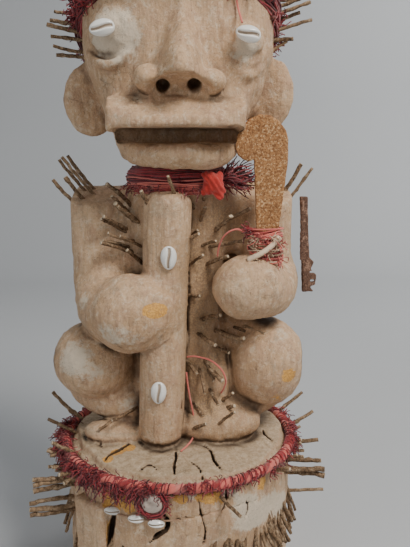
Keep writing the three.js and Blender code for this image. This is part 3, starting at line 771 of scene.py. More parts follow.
def add_body(clay):
    clay.add(standing_form(TORSO_ROWS, 2.3))
    clay.add(egg((7, 18, 396), (88, 28, 26)), 12)
    clay.add(egg((7, 34, 340), (84, 24, 72)), 12)
    # Upper arms like cut posts, under shoulders that slope down to the front in one plane
    for x, front, slab_x, slab_y in ((-78, (-80, -18, 400), -66, 16), (89, (95, -16, 403), 76, 21)):
        plane = front, (0, -0.32, 1), 4
        clay.add(sliced(post((x, 8, 318), (x, 8, 440), 25, 6), *plane), 6)
        clay.add(sliced(block((slab_x, slab_y, 392), (38, 27, 40), rounding=10), *plane), 9)
    clay.add(egg((-46, 4, 352), (27, 21, 48)), 12)
    # Elbows and forearms, and fists under lumps of clay
    clay.add(limb([(-77, 6, 345), (-75, 0, 325), (-68, -22, 304), (-54, -40, 303)], [24, 27.5, 31, 32]), 9)
    clay.add(limb([(91, 6, 345), (96, -4, 326), (88, -22, 320), (76, -38, 325)], [24, 27, 28, 28]), 9)
    clay.add(egg((-44, -49, 303), (35, 33, 38), turn=8), 7)
    clay.add(egg((67, -47, 327), (34, 31, 31)), 6)
    # Hips, thighs, knees and shins
    clay.add(limb([(-38, 34, 214), (-64, 18, 228), (-84, -4, 242)], [36, 39, 38]), 6)
    clay.add(limb([(46, 34, 214), (70, 18, 222), (90, -2, 230)], [36, 38, 37]), 6)
    clay.add(limb([(34, 26, 262), (62, 16, 262), (88, -2, 258)], [30, 28, 28]), 8)
    clay.add(egg((-87, -12, 247), (39, 38, 38)), 6)
    clay.add(egg((92, -10, 240), (38, 37, 45)), 6)
    clay.add(limb([(-88, 14, 212), (-70, 0, 204), (-44, -6, 194), (-14, -4, 190)], [28, 25, 22, 18]), 3)
    clay.add(limb([(92, 16, 210), (74, 6, 200), (48, 4, 194), (24, 2, 196)], [31, 26, 24, 20]), 4)
    clay.add(egg((30, -9, 213), (25, 24, 52)), 6)
    # Crust heaped against the lap and along the shins
    clay.add(egg((38, -22, 180), (46, 28, 22)), 12)
    clay.add(egg((-56, -24, 172), (40, 20, 12)), 6)


HEAD_CORNER = np.array([-122.0, -114.0, 426.0])


def upper_lip():
    """A shelf right across the face: its top slopes to the front and its front is three flats."""
    lip = block((0.5, -40, 485.5), (60.5, 50, 15.5), rounding=4)
    lip = sliced(lip, (0, -66, 499.5), (0, -0.62, 0.79), 2.5)
    lip = sliced(lip, (-30, -89, 480), (-0.40, -1, 0), 5)
    return sliced(lip, (34, -89, 480), (0.40, -1, 0), 5)


NOSE_ROWS = [
    [616, 14, 44, 30, 4], [596, 21, 57, 30, 5], [570, 24, 68, 30, 6], [548, 27, 84, 30, 6], [532, 30, 98, 30, 5],
    [520, 34, 103, 30, 4], [509, 38, 98, 30, 2], [500, 38, 80, 30, 2],
]


def add_head(clay):
    corner = np.round((HEAD_CORNER - clay.low) / clay.step) * clay.step + clay.low
    head = Clay(corner, (124, 112, 652), clay.step)
    head.add(standing_form(HEAD_ROWS, 2.25))
    for side, x, z in ((-1, -82, 503), (1, 90, 508)):
        head.add(egg((x, 10, z), (26, 9, 35), turn=side * -14), 7)
        head.cut(egg((x - side * 3, -5, z - 2), (15, 7, 23), turn=side * -14), 6)
    # Eye bosses, with the folds of the lids below
    for centre, radii, turn in (((-56, -46, 557), (23, 11, 21), -28), ((63, -45, 549), (18, 11, 15.5), 28)):
        head.add(egg(centre, radii, turn), 3)
        ring = egg((centre[0] - 4 if turn < 0 else centre[0], centre[1] - 8, centre[2] + 1), (13, 5, 10.5), turn)
        head.add(ring, 3)
    lids = [
        ([(-79, -30, 541), (-68, -44, 530), (-54, -52, 528), (-38, -56, 538)], [2, 4, 4.5, 2]),
        ([(46, -54, 538), (63, -46, 530), (80, -31, 539)], [1.5, 3.5, 2]),
        ([(48, -52, 527), (64, -44, 520), (79, -29, 529)], [2, 4.5, 2]),
    ]
    for path, sizes in lids:
        head.add(limb(path, sizes), 4)
    head.cut(limb([(50, -59, 539), (64, -56, 534), (78, -42, 541)], [1.2, 2.2, 1.2]), 1.5)
    # Nose: a broad wedge that flares into its wings, with an arched hollow under it
    head.add(standing_form(NOSE_ROWS, 1.75), 8)
    head.add(egg((-24, -70, 514), (12, 16, 11)), 6)
    head.add(egg((31, -69, 512), (12, 16, 11)), 6)
    head.add(egg((1, -34, 489), (64, 40, 22)), 12)
    head.cut(egg((2, -90, 499), (34, 28, 18.5)), 1.5)
    head.add(upper_lip(), 4)
    for x in (-11.5, 16):
        head.cut(limb([(x, -82, 504), (x, -52, 515)], [6.5, 5.5]), 1)
    # Lower jaw and lip below the open mouth
    jaw = [(-50, -20, 466), (-40, -42, 453), (-18, -55, 449), (2, -58, 448), (26, -55, 448), (43, -42, 452), (55, -20, 465)]
    head.add(limb(jaw, [8, 9.5, 9.5, 9.5, 9.5, 9.5, 8], pieces=16), 5)
    head.add(egg((2, -58, 451.5), (29, 14, 10.5)), 2.5)
    head.cut(block((1, -60, 467.5), (57, 40, 6.6), rounding=5), 2)
    head.cut(limb([(-50, -62, 462), (-34, -70, 459), (-24, -76, 459)], [3, 4, 3]), 2)
    head.cut(limb([(53, -62, 462), (40, -70, 459), (32, -76, 459)], [3, 4, 3]), 2)
    first = np.round((head.low - clay.low) / clay.step).astype(int)
    spans = tuple(slice(a, a + n) for a, n in zip(first, head.value.shape))
    clay.value[spans] = smooth_min(clay.value[spans], head.value, 4)
    clay.add(egg((1, 0, 428), (41, 38, 30)), 5)


SEAT_CRACKS = [
    ([(103, 463), (111, 456), (121, 451), (134, 445)], 1.5), ([(174, 447), (176, 458), (174, 468), (176, 480)], 0.7),
    ([(204, 447), (211, 453), (214, 462), (222, 470)], 0.8), ([(262, 430), (265, 436), (272, 441)], 0.8),
    ([(84, 436), (96, 441), (104, 452)], 0.8), ([(140, 470), (150, 466), (158, 471)], 0.6),
    ([(232, 441), (238, 436), (246, 439)], 0.5), ([(190, 462), (198, 468), (203, 478)], 0.5),
]
WALL_CRACKS = [
    ([(115, 513), (113, 522), (111, 533), (108, 547)], 2.0), ([(225, 482), (227, 494), (223, 508), (214, 523)], 0.8),
    ([(163, 514), (168, 524), (165, 534)], 0.7), ([(198, 499), (201, 515), (205, 531), (203, 547)], 1.1),
    ([(172, 521), (203, 515), (228, 508), (262, 499)], 0.5), ([(150, 543), (158, 536), (166, 531)], 0.7),
    ([(83, 520), (82, 530), (79, 542)], 1.1), ([(246, 500), (247, 510), (243, 521)], 0.5),
]
BACK_CRACKS = [(62, 20, 150, 2.2), (158, 4, 120, 1.8), (12, 30, 96, 1.3), (104, 60, 140, 1.2), (-164, 10, 90, 1.4)]


def crack(clay, path, radius, depth, along):
    """A check that narrows to both ends; along is the direction it goes in, as a unit axis."""
    sizes = [0.4 * radius] + [radius] * (len(path) - 2) + [0.4 * radius]
    squeeze = tuple(depth / radius if k == along else 1 for k in range(3))
    clay.cut(limb(path, sizes, squeeze, pieces=14), 0.6)


def carve_cracks(clay):
    crack(clay, [(10, -27, 352), (11, -28, 320), (9, -28, 290), (11, -29, 262)], 0.9, 5, 1)
    crack(clay, [(-3, -60.5, 410), (-2, -61, 392), (-4, -61, 370), (-3, -61, 350)], 0.6, 1.5, 1)
    for pixels, radius in SEAT_CRACKS:
        crack(clay, [at_height(pixel, SEAT_HEIGHT - 8) for pixel in pixels], radius, 4, 2)
    for pixels, radius in WALL_CRACKS:
        crack(clay, [on_wall(pixel, DRUM_RADIUS - 1) for pixel in pixels], radius, 4 + 2.5 * radius, 1)
    for angle, low, high, radius in BACK_CRACKS:
        spots = [on_drum(angle + swing, DRUM_RADIUS - 1, low + (high - low) * share)
                 for swing, share in ((0, 0), (1.5, 0.4), (-0.5, 0.7), (1, 1))]
        across = 0 if abs(math.cos(math.radians(angle))) > 0.7 else 1
        crack(clay, spots, radius, 8, across)
    # Where a flake of crust has come off the fist
    clay.cut(block(at_depth((156, 311.5), -81), (9.5, 3.5, 5), turn=18, rounding=0.5, lean=-4), 0.5)
    crack(clay, [at_depth(pixel, -82) for pixel in ((139, 304), (148, 304.5), (160, 304), (165, 305))], 0.7, 2, 1)
    crack(clay, [at_depth(pixel, -78) for pixel in ((164, 298), (165, 306), (167, 313))], 0.6, 2, 1)


def make_carving():
    clay = Clay((-126, -126, -3), (126, 126, 654), 1.5)
    add_body(clay)
    clay.add(drum(), 4)
    clay.cut(rim_ledge(), 2)
    clay.add(block((-81, -86, 66), (19, 7, 66), turn=-43, rounding=3), 2)
    clay.add(post(HORN_FOOT, HORN_TOP, HORN_RADIUS, 11), 5)
    # The clay that holds the horn to the right fist
    clay.add(egg((-28, -54, 306), (26, 24, 30), turn=10), 9)
    add_head(clay)
    carve_cracks(clay)
    made = clay.surface("carving", [CLAY], 196000)
    points, normals = mesh_points(made), mesh_normals(made)
    radius = np.hypot(points[:, 0], points[:, 1])
    on_seat = (np.clip(normals[:, 2] * 1.4 - 0.2, 0, 1) * (points[:, 2] > 152) * (points[:, 2] < 178)
               * (radius < DRUM_RADIUS + 1))
    relief = 1.1 * rough(points, 34, 1) + 0.6 * rough(points, 9, 8, 4) + 0.25 * lumps(points, 3.2, 5)
    relief += on_seat * (0.9 * rough(points, 13, 61, 4) + 0.5 * np.clip(lumps(points, 4.5, 64) - 0.4, 0, 1))
    relief += fist_ridges(points, normals)
    points = points + normals * relief[:, None]
    low, high = CAD_BOX
    points[:, 2] = np.clip(points[:, 2], 0.0, high[2] / MM - 0.1)
    set_points(made, points)
    # How deep each point lies in a recess; the clay material paints this as shade, with some grime
    set_value(made, "shelter", clay.shelter(made))
    set_value(made, "grey", on_seat)
    stain(made, points)
    return dress(made, "clay_crust", "figure")


def fist_ridges(points, normals):
    """Curved ridges where layers of clay were laid over the lower half of the right fist."""
    away = np.hypot(points[:, 0] + 40, points[:, 2] - 306) + 1.5 * lumps(points, 11, 71)
    steps = np.mod(away, 6.5) / 6.5
    below = np.clip((298 - points[:, 2]) / 14, 0, 1) * np.clip((away - 16) / 6, 0, 1) * np.clip((44 - away) / 4, 0, 1)
    front = np.clip(-normals[:, 1] * 1.5, 0, 1) * (points[:, 1] < -40)
    return 1.5 * (steps - 0.5) * below * front


# Stains: pixel of the photograph, half width and half height in millimetres, strength
OCHRE_SPOTS = [
    ((156, 311), 9, 5, 1.0), ((112, 499), 13, 9, 0.75), ((128, 504), 10, 8, 0.75), ((181, 499), 5, 4, 1), ((209, 496), 9, 5, 1),
    ((217, 501), 6, 4, 0.9), ((262, 482), 6, 5, 1), ((108, 459), 4, 2.2, 1), ((117, 453), 5, 1.8, 1), ((128, 448), 5, 1.5, 1),
    ((111, 521), 2.2, 7, 1), ((108, 535), 2, 9, 1), ((82, 528), 2, 8, 0.9), ((289, 376), 9, 9, 0.62), ((277, 398), 8, 7, 0.5),
]
WHITE_SPOTS = [
    ((262, 511), 25, 9, 1), ((246, 506), 14, 8, 0.9), ((280, 505), 12, 9, 1), ((73, 360), 17, 17, 0.62), ((92, 372), 12, 10, 0.5),
    ((112, 335), 20, 12, 0.5), ((134, 340), 12, 8, 0.45), ((111, 34), 21, 20, 0.72), ((247, 46), 14, 14, 0.6), ((84, 300), 9, 12, 0.5),
    ((226, 490), 12, 6, 0.5), ((192, 494), 8, 5, 0.5), ((283, 335), 9, 14, 0.45), ((130, 405), 16, 8, 0.5), ((205, 105), 20, 5, 0.35),
]
BROWN_PATCHES = [
    ((12, -30, 350), 34), ((12, -28, 300), 34), ((30, -36, 250), 32), ((32, -34, 205), 34), ((40, -20, 385), 26),
    ((20, -30, 235), 30), ((70, -10, 385), 20), ((56, -30, 185), 26), ((26, -30, 330), 24), ((62, -50, 300), 16),
]


def spread(points, patches):
    """How far each point lies inside the nearest patch, from 0 outside to 1 at its centre."""
    nearness = np.zeros(len(points))
    for centre, radius in patches:
        away = np.linalg.norm(points - np.asarray(centre), axis=1)
        nearness = np.maximum(nearness, np.clip(1.3 - away / radius, 0, 1))
    return nearness


def spots_on(made, points, spots):
    """The same for spots given by their pixels in the photograph."""
    sight = Sight(made)
    nearness = np.zeros(len(points))
    for pixel, half_width, half_height, strength in spots:
        centre = sight.meets(pixel)
        across = np.hypot(points[:, 0] - centre[0], points[:, 1] - centre[1]) / half_width
        away = np.hypot(across, (points[:, 2] - centre[2]) / half_height)
        nearness = np.maximum(nearness, strength * np.clip(1.35 - 0.6 * away, 0, 1) * (away < 2.2))
    return nearness


def stain(made, points):
    set_value(made, "ochre", spots_on(made, points, OCHRE_SPOTS))
    set_value(made, "white", spots_on(made, points, WHITE_SPOTS))
    brown = spread(points, BROWN_PATCHES) * (0.75 + 0.35 * rough(points, 18, 31))
    set_value(made, "brown", np.clip(brown, 0, 0.85))


class Sight:
    """Where lines of sight through pixels of the photograph meet a piece."""

    def __init__(self, made):
        points = [tuple(point) for point in mesh_points(made)]
        self.tree = BVHTree.FromPolygons(points, [tuple(face.vertices) for face in made.data.polygons])

    def meets(self, pixel):
        hit = self.tree.ray_cast(Vector(CAMERA_PLACE) / MM, Vector(towards(pixel)))[0]
        return None if hit is None else np.array(hit)


make_carving()


# Twigs

def cad_points(node):
    return mesh_points(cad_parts[node])


def ends_of(node):
    """The end centres of a straight CAD bar, the end nearer the middle of the part first."""
    points = cad_points(node)
    middle = points.mean(0)
    axis = np.linalg.svd(points - middle, full_matrices=False)[2][0]
    run = (points - middle) @ axis
    ends = points[run < run.min() + 1].mean(0), points[run > run.max() - 1].mean(0)
    return sorted(ends, key=lambda end: np.hypot(end[0], end[1]))


TWIG_RADIUS = 2.1
TWIG_SIDES = 9
TWIG_RINGS = 12
random_twig = np.random.default_rng(SEED)


def twigs(name, sticks, radius=TWIG_RADIUS, buried=3.0):
    """Crooked sticks with bark, knots and pale broken ends as one object; sticks are (root, tip) pairs."""
    paths, sizes = [], []
    t = np.linspace(0, 1, TWIG_RINGS)
    for root, tip in sticks:
        root, tip = np.array(root, float), np.array(tip, float)
        length = np.linalg.norm(tip - root)
        root = root - (tip - root) / length * buried
        line = root + (tip - root) * t[:, None]
        line += np.sin(math.pi * t)[:, None] * random_twig.normal(0, 0.022 * length, 3)
        line[1:-1] += random_twig.normal(0, 0.11 * radius, (TWIG_RINGS - 2, 3))
        size = radius * random_twig.uniform(0.82, 1.1) * (1 - 0.1 * t + random_twig.normal(0, 0.04, TWIG_RINGS))
        size[random_twig.integers(2, TWIG_RINGS - 1)] *= 1.25
        paths.append(line)
        sizes.append(size)
    points, quads, caps = tubes(paths, sizes, TWIG_SIDES)
    away = points - np.repeat(np.concatenate(paths), TWIG_SIDES, axis=0)
    points = points + away * (0.16 * rough(points, 2.2, 3))[:, None]
    slots = np.zeros(len(quads) + len(caps), int)
    slots[len(quads) + len(caps) // 2:] = 1
    tone = np.repeat(random_twig.uniform(0, 1, len(sticks)), TWIG_RINGS * TWIG_SIDES)
    return make_object(name, points, quads, caps, [BARK, CUT_WOOD], slots, {"tone": tone})


def make_cad_twigs():
    for node in sorted(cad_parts):
        if node.startswith("twig_"):
            dress(twigs(node.replace("twig_", "stick_"), [ends_of(node)]), "twig_bark", node)


# Bundles of stout sticks: node, and how many sticks lie one above the other
BUNDLES = (("rim_bundle_right", 3), ("rim_bundle_upper", 3), ("rim_bundle_left", 2))


def make_bundles():
    for node, count in BUNDLES:
        low, high = (np.array(corner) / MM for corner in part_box(node))
        inner, outer = (low, high) if low[0] > 0 else (high, low)
        radius = (high[2] - low[2]) / (2 * count + 1.6)
        sticks = []
        for k in range(count):
            lift = (k - (count - 1) / 2) * 2 * radius * 0.92
            drop = 0.5 * (low[2] + high[2]) + lift
            root = np.array([inner[0], high[1] - 2 * radius, drop - 1.5])
            tip = np.array([outer[0], low[1] + radius, drop + 1.5 * (k - 1)])
            sticks.append((root, tip))
        dress(twigs(f"{node}_sticks", sticks, radius), "twig_bark", node)


# Twigs seen in the photograph beside those that are solids: the pixels of each root and tip
CHEST_TWIG_PIXELS = [
    ((128, 213), (112, 196)), ((138, 222), (118, 206)), ((125, 232), (101, 219)), ((133, 240), (108, 233)),
    ((140, 246), (120, 236)), ((131, 252), (101, 243)), ((141, 262), (127, 250)), ((147, 202), (141, 191)),
    ((174, 193), (168, 176)), ((193, 207), (189, 198)), ((201, 219), (205, 207)), ((204, 199), (208, 185)),
    ((216, 229), (232, 216)), ((190, 239), (199, 234)), ((192, 263), (203, 255)), ((209, 263), (228, 256)),
    ((203, 245), (216, 241)), ((193, 235), (198, 230)),
]
LAP_TWIG_PIXELS = [
    ((190, 295), (200, 296)), ((201, 319), (220, 316)), ((198, 334), (212, 345)), ((213, 345), (229, 353)),
    ((221, 331), (243, 339)), ((236, 328), (246, 332)), ((246, 327), (265, 334)), ((187, 361), (197, 374)),
    ((200, 370), (205, 394)), ((206, 362), (222, 381)), ((210, 390), (218, 405)), ((195, 428), (206, 424)),
    ((219, 424), (235, 412)), ((209, 372), (214, 381)), ((223, 400), (233, 393)), ((135, 408), (112, 421)),
    ((113, 420), (99, 430)), ((195, 404), (203, 416)),
]


def pixel_twigs(name, sight, pairs, lean=0.8, radius=1.9):
    """Twigs that stand on the carving at one pixel and end at another, leaning towards the viewer."""
    sticks = []
    for root_pixel, tip_pixel in pairs:
        root = sight.meets(root_pixel)
        span = math.dist(root_pixel, tip_pixel)
        sticks.append((root, at_depth(tip_pixel, root[1] - lean * span)))
    return dress(twigs(name, sticks, radius), "twig_bark")


def rim_twigs():
    """Short twigs driven in under the rim cord, thick on the two sides and thinner behind."""
    sticks = []
    for angle, count in [(-172, 3), (-163, 3), (-154, 2), (-146, 2), (-8, 3), (-18, 2), (-28, 2), (-38, 1), (4, 3),
                         (14, 3), (26, 2), (40, 1), (58, 1), (80, 1), (104, 1), (128, 1), (146, 2), (160, 2), (172, 3)]:
        for _ in range(count):
            turn = angle + random_twig.uniform(-4, 4)
            height = random_twig.uniform(136, 158)
            length = random_twig.uniform(16, 26)
            aim = on_drum(turn + random_twig.uniform(-10, 10), length, random_twig.uniform(-2, 13))
            root = on_drum(turn, 112, height)
            tip = root + aim
            tip[1] = min(tip[1], 120)
            sticks.append((root, tip))
    return dress(twigs("rim_twigs", sticks, 1.9), "twig_bark")


def skirt_twigs():
    """Twigs that flare down and out round the drum below its band, closest together in front."""
    sticks = []
    for start, stop, count in [(-74, -22, 24), (-150, -112, 12), (-14, 60, 12), (66, 200, 14)]:
        for angle in np.linspace(start, stop, count):
            turn = angle + random_twig.uniform(-2, 2)
            root = on_drum(turn, 113, random_twig.uniform(98, 108))
            tip = on_drum(turn + random_twig.uniform(-5, 7), random_twig.uniform(121, 127), random_twig.uniform(62, 76))
            tip[1] = min(tip[1], 120)
            sticks.append((root, tip))
    return dress(twigs("skirt_twigs", sticks, 2.0), "twig_bark")


def head_twigs():
    """Twigs in the yarn at the temples and, fewer, round the back of the head."""
    sticks = []
    for angle, height, length in [(174, 586, 34), (178, 572, 36), (183, 590, 30), (186, 556, 34), (184, 541, 30),
                                  (2, 596, 38), (-3, 586, 34), (-4, 570, 32), (-6, 556, 26), (-5, 546, 20),
                                  (20, 584, 22), (38, 566, 16), (146, 580, 22), (160, 566, 26)]:
        root = np.array([2, 14, height]) + on_drum(angle, 1, 0) * (86, 70, 0)
        tip = root + on_drum(angle + random_twig.uniform(-8, 8), length, random_twig.uniform(0, 14))
        tip[1] = min(tip[1], 119)
        sticks.append((root, tip))
    return dress(twigs("head_twigs", sticks, 2.0), "twig_bark")


# Yarn

def merged(parts):
    """Several (points, quads, triangles, tone) parts as one set of arrays."""
    points, quads, triangles, tones = [], [], [], []
    count = 0
    for part_points, part_quads, part_triangles, tone in parts:
        points.append(part_points)
        quads.append(part_quads + count)
        triangles.append(part_triangles + count)
        tones.append(np.broadcast_to(tone, len(part_points)))
        count += len(part_points)
    return np.concatenate(points), np.concatenate(quads), np.concatenate(triangles), np.concatenate(tones)


def yarn_piece(name, groups, materials):
    """One object from groups of strands: (paths, radii, sides, tone or None for a tone for each strand)."""
    random = np.random.default_rng(SEED + len(groups))
    parts, slots = [], []
    for paths, radii, sides, tone, slot in groups:
        points, quads, caps = tubes(paths, radii, sides)
        if tone is None:
            tone = np.repeat(random.uniform(0, 1, len(paths)), len(points) // len(paths))
        parts.append((points, quads, caps, tone))
        slots.append((len(quads), len(caps), slot))
    points, quads, triangles, tones = merged(parts)
    face_slots = np.concatenate([np.full(n, slot) for n, _, slot in slots] + [np.full(m, slot) for _, m, slot in slots])
    return make_object(name, points, quads, triangles, materials, face_slots, {"tone": tones})


def frayed(root, aim, count, length, spread_out, droop, random, steps=9, curl=2.0):
    """Loose thread ends that fan out from one place."""
    aim = np.asarray(aim, float) / np.linalg.norm(aim)
    t = np.linspace(0, 1, steps)[None, :, None]
    aims = aim + random.normal(0, spread_out, (count, 3))
    aims /= np.linalg.norm(aims, axis=1, keepdims=True)
    lengths = length * random.uniform(0.55, 1.1, (count, 1, 1))
    starts = np.asarray(root, float) + random.normal(0, 1.5, (count, 3))
    phase = random.uniform(0, 2 * math.pi, (count, 1, 3))
    waves = curl * np.sin(phase + t * random.uniform(3, 7, (count, 1, 3))) * t
    fall = np.array([0, 0, -droop * length]) * t ** 2
    return starts[:, None] + aims[:, None] * lengths * t + waves + fall


def wound(centre_at, section_at, count, random, steps=72, turns=1.0, wander=0.15):
    """Strands laid side by side round a closed ring, over the outside of its section."""
    t = np.linspace(0, 2 * math.pi * turns, steps)
    paths = []
    for k in range(count):
        around = 2 * math.pi * k / count + random.normal(0, 0.1)
        drift = around + wander * np.sin(t + random.uniform(0, 6)) + wander * np.sin(2.7 * t + random.uniform(0, 6))
        centre, section = centre_at(t), section_at(t)
        size = 1 + random.normal(0, 0.05) + 0.05 * np.sin(5 * t + random.uniform(0, 6))
        outward = np.cos(drift) * section[0] * size
        paths.append(np.stack([centre[0] + outward * np.cos(t), centre[1] + outward * np.sin(t),
                               centre[2] + np.sin(drift) * section[1] * size], axis=1))
    return np.array(paths)


def ring_path(centre_at, steps=72):
    return np.stack(np.broadcast_arrays(*centre_at(np.linspace(0, 2 * math.pi, steps))), axis=1)[None]


def neck_ring(t):
    return 1 + 41 * np.cos(t), 39 * np.sin(t), 427 + 0 * t


def head_ring(t):
    return 2 + 88 * np.cos(t), 14 + 75 * np.sin(t), 576 - 32 * np.sin(t)


def make_neck_yarn():
    random = np.random.default_rng(SEED + 1)
    section = lambda t: (8.6 + 0 * t, 11.5 + 0 * t)
    strands_round = wound(neck_ring, section, 84, random)
    # Two yarn colours: dark red strands over the top, upper outside and inside of the ring, pink ones along its bottom
    # and lower outside; the dark top also stands as painted shadow of the chin
    dark, light = strands_round[:56], strands_round[56:]
    ends = [frayed((1 + 50 * math.cos(a), 46 * math.sin(a), 421), (math.cos(a), math.sin(a), -0.4), 6, 10, 0.6, 0.3, random)
            for a in np.linspace(-2.9, -0.3, 14)]
    groups = [(ring_path(neck_ring), 8.2, 12, 0.0, 0), (dark, 0.75, 4, None, 0), (light, 0.75, 4, None, 1),
              (np.concatenate(ends), 0.4, 3, None, 0)]
    dress(yarn_piece("neck_yarn_strands", groups, [DARK_YARN, PINK_YARN]), "red_yarn", "neck_yarn")


def make_head_yarn():
    random = np.random.default_rng(SEED + 2)
    section = lambda t: (10.5 + 0 * t, 22 - 9 * np.maximum(0, -np.sin(t)))
    paths = wound(head_ring, section, 76, random, wander=0.35)
    ends = []
    for angle in np.linspace(0, 2 * math.pi, 44, endpoint=False):
        side = abs(math.cos(angle))
        for _ in range(2):
            root = (2 + 97 * math.cos(angle), 14 + 83 * math.sin(angle),
                    576 - 32 * math.sin(angle) + random.uniform(-17, 17) * (0.4 + 0.6 * side))
            ends.append(frayed(root, (math.cos(angle), math.sin(angle), random.uniform(-0.6, 0.6)), 9, 10, 0.8, 0.1, random, curl=3))
    groups = [(ring_path(head_ring), 9.5, 12, 0.0, 0), (paths, 1.0, 4, None, 0), (np.concatenate(ends), 0.55, 3, None, 0)]
    made = yarn_piece("head_yarn_strands", groups, [DARK_YARN])
    dress(made, "red_yarn", "head_yarn")


RIM_ROLL = 3.0


def rim_ring(t):
    return DRUM_RADIUS * np.cos(t), DRUM_RADIUS * np.sin(t), RIM_HEIGHT + 0 * t


def make_rim_cord():
    random = np.random.default_rng(SEED + 3)
    t = np.linspace(0, 2 * math.pi, 420)
    plies = []
    for k in range(3):
        turn = 27 * t + k * 2 * math.pi / 3
        out = DRUM_RADIUS + RIM_ROLL * 0.62 * np.cos(turn)
        plies.append(np.stack([out * np.cos(t), out * np.sin(t), RIM_HEIGHT + RIM_ROLL * 0.62 * np.sin(turn)], axis=1))
    ply_size = RIM_ROLL * (1 + 0.08 * np.sin(9 * t) + 0.06 * np.sin(23 * t + 1))
    tufts = []
    for low, high, count, ends, length in [(-196, -104, 26, 42, 17), (-104, -20, 11, 26, 11), (-20, 20, 9, 34, 14), (20, 164, 14, 24, 12)]:
        for angle in np.radians(np.linspace(low, high, count)):
            angle += random.normal(0, 0.03)
            root = (DRUM_RADIUS * math.cos(angle), DRUM_RADIUS * math.sin(angle), RIM_HEIGHT + random.uniform(-3, 4))
            tilt = random.uniform(-0.9, 0.5)
            aim = (math.cos(angle + 0.3 * random.normal()), math.sin(angle), tilt)
            tufts.append(frayed(root, aim, ends, length * 0.8, 0.75, 0.45, random, curl=2.6)[:ends])
    tufts = np.concatenate(tufts)
    loops = []
    for start in np.radians(np.linspace(-200, 150, 60)) + random.normal(0, 0.03, 60):
        u = np.linspace(0, 1, 40)
        a = start + 0.14 * u
        turn = 2 * math.pi * 3 * u + random.uniform(0, 6)
        out = DRUM_RADIUS + (RIM_ROLL * 1.72) * np.cos(turn)
        loops.append(np.stack([out * np.cos(a), out * np.sin(a), RIM_HEIGHT + RIM_ROLL * 1.72 * np.sin(turn)], axis=1))
    groups = [(plies, ply_size, 8, None, 1), (np.array(loops), 0.55, 4, None, 0), (tufts, 0.45, 3, None, 0)]
    dress(yarn_piece("rim_cord_yarn", groups, [DARK_YARN, PINK_YARN]), "red_yarn", "rim_cord")


def make_neck_tuft():
    random = np.random.default_rng(SEED + 4)
    low, high = (np.array(corner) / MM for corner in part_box("neck_tuft"))
    root = (low[0] + 2, low[1] + 9, low[2] + 13)
    groups = [(frayed(root, (1, 0.1, 0.12), 170, 29, 0.36, 0.05, random, steps=10, curl=2.5), 0.55, 3, None, 0),
              (frayed(root, (0.8, -0.2, 0.5), 50, 20, 0.5, 0.0, random, steps=10, curl=2.5), 0.45, 3, None, 0)]
    dress(yarn_piece("neck_tuft_ends", groups, [DARK_YARN]), "red_yarn", "neck_tuft")


def make_neck_knot():
    cloth = Clay((16, -62, 404), (50, -30, 446), 0.8)
    cloth.add(egg((33, -45, 425), (9, 7, 10)))
    cloth.add(limb([(27, -46, 432), (34, -51, 427), (41, -47, 418)], [4, 6, 4], squeeze=(1, 0.8, 1)), 2)
    cloth.add(limb([(40, -46, 432), (33, -50, 424), (26, -46, 417)], [3.5, 5, 3.5], squeeze=(1, 0.8, 1)), 1.5)
    cloth.add(limb([(36, -47, 420), (40, -48, 412)], [5, 2.5], squeeze=(1.1, 0.6, 1)), 2)
    made = cloth.surface("neck_knot_cloth", [RED_CLOTH], 9000)
    points, normals = mesh_points(made), mesh_normals(made)
    folds = np.sin(points[:, 0] * 1.1 + points[:, 2] * 0.7 + 2 * lumps(points, 7, 4))
    set_points(made, points + normals * (0.45 * folds + 0.5 * rough(points, 5, 6))[:, None])
    set_value(made, "tone", np.full(len(points), 0.6))
    dress(made, "red_yarn", "neck_knot")


# Cowries

def cowrie(name, node, size, across_face, tilt):
    """A cowrie seen on its mouth side; size is its half width, half height and half length."""
    middle = 0.5 * (np.array(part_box(node)[0]) + np.array(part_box(node)[1])) / MM
    around, along = np.meshgrid(np.linspace(0, 2 * math.pi, 65)[:-1], np.linspace(0, math.pi, 49), indexing="ij")
    u = np.sin(along) * np.cos(around)
    v = np.sin(along) * np.sin(around)
    w = np.cos(along)
    wide = 1 + 0.1 * w
    slot = u - 0.1 * np.sin(3 * w)
    mouth = np.exp(-(slot / 0.17) ** 2) * (np.abs(w) < 0.86) * (v < 0)
    teeth = 0.5 + 0.5 * np.cos(w * 34)
    lips = np.exp(-((np.abs(slot) - 0.34) / 0.2) ** 2) * (v < 0)
    depth = 1 - 0.55 * mouth + 0.10 * lips - 0.1 * teeth * np.exp(-((np.abs(slot) - 0.2) / 0.12) ** 2) * (v < 0)
    local = np.stack([u * wide * size[0], v * depth * size[1], w * size[2]], axis=-1)
    if across_face:
        local = np.stack([local[..., 2], local[..., 1], local[..., 0]], axis=-1)
    c, s = math.cos(math.radians(tilt)), math.sin(math.radians(tilt))
    local = np.stack([c * local[..., 0] - s * local[..., 2], local[..., 1], s * local[..., 0] + c * local[..., 2]], axis=-1)
    points = (middle + local).reshape(-1, 3)
    rows, columns = np.meshgrid(np.arange(64), np.arange(48), indexing="ij")
    here, over = rows * 49 + columns, (rows + 1) % 64 * 49 + columns
    quads = np.stack([here, here + 1, over + 1, over], axis=-1).reshape(-1, 4)
    if across_face:
        quads = quads[:, ::-1]
    # Darker brown in the slot and over the sides and back of the shell
    slot_and_back_brown = np.clip(mouth * 1.3 + 0.25 * (v > -0.35) + 0.35 * (v > -0.1), 0, 1).reshape(-1)
    made = make_object(name, points, quads, (), [COWRIE], values={"slot_and_back_brown": slot_and_back_brown})
    weld = made.modifiers.new("weld", "WELD")
    weld.merge_threshold = 1e-5
    return dress(made, "cowrie_shell", node)


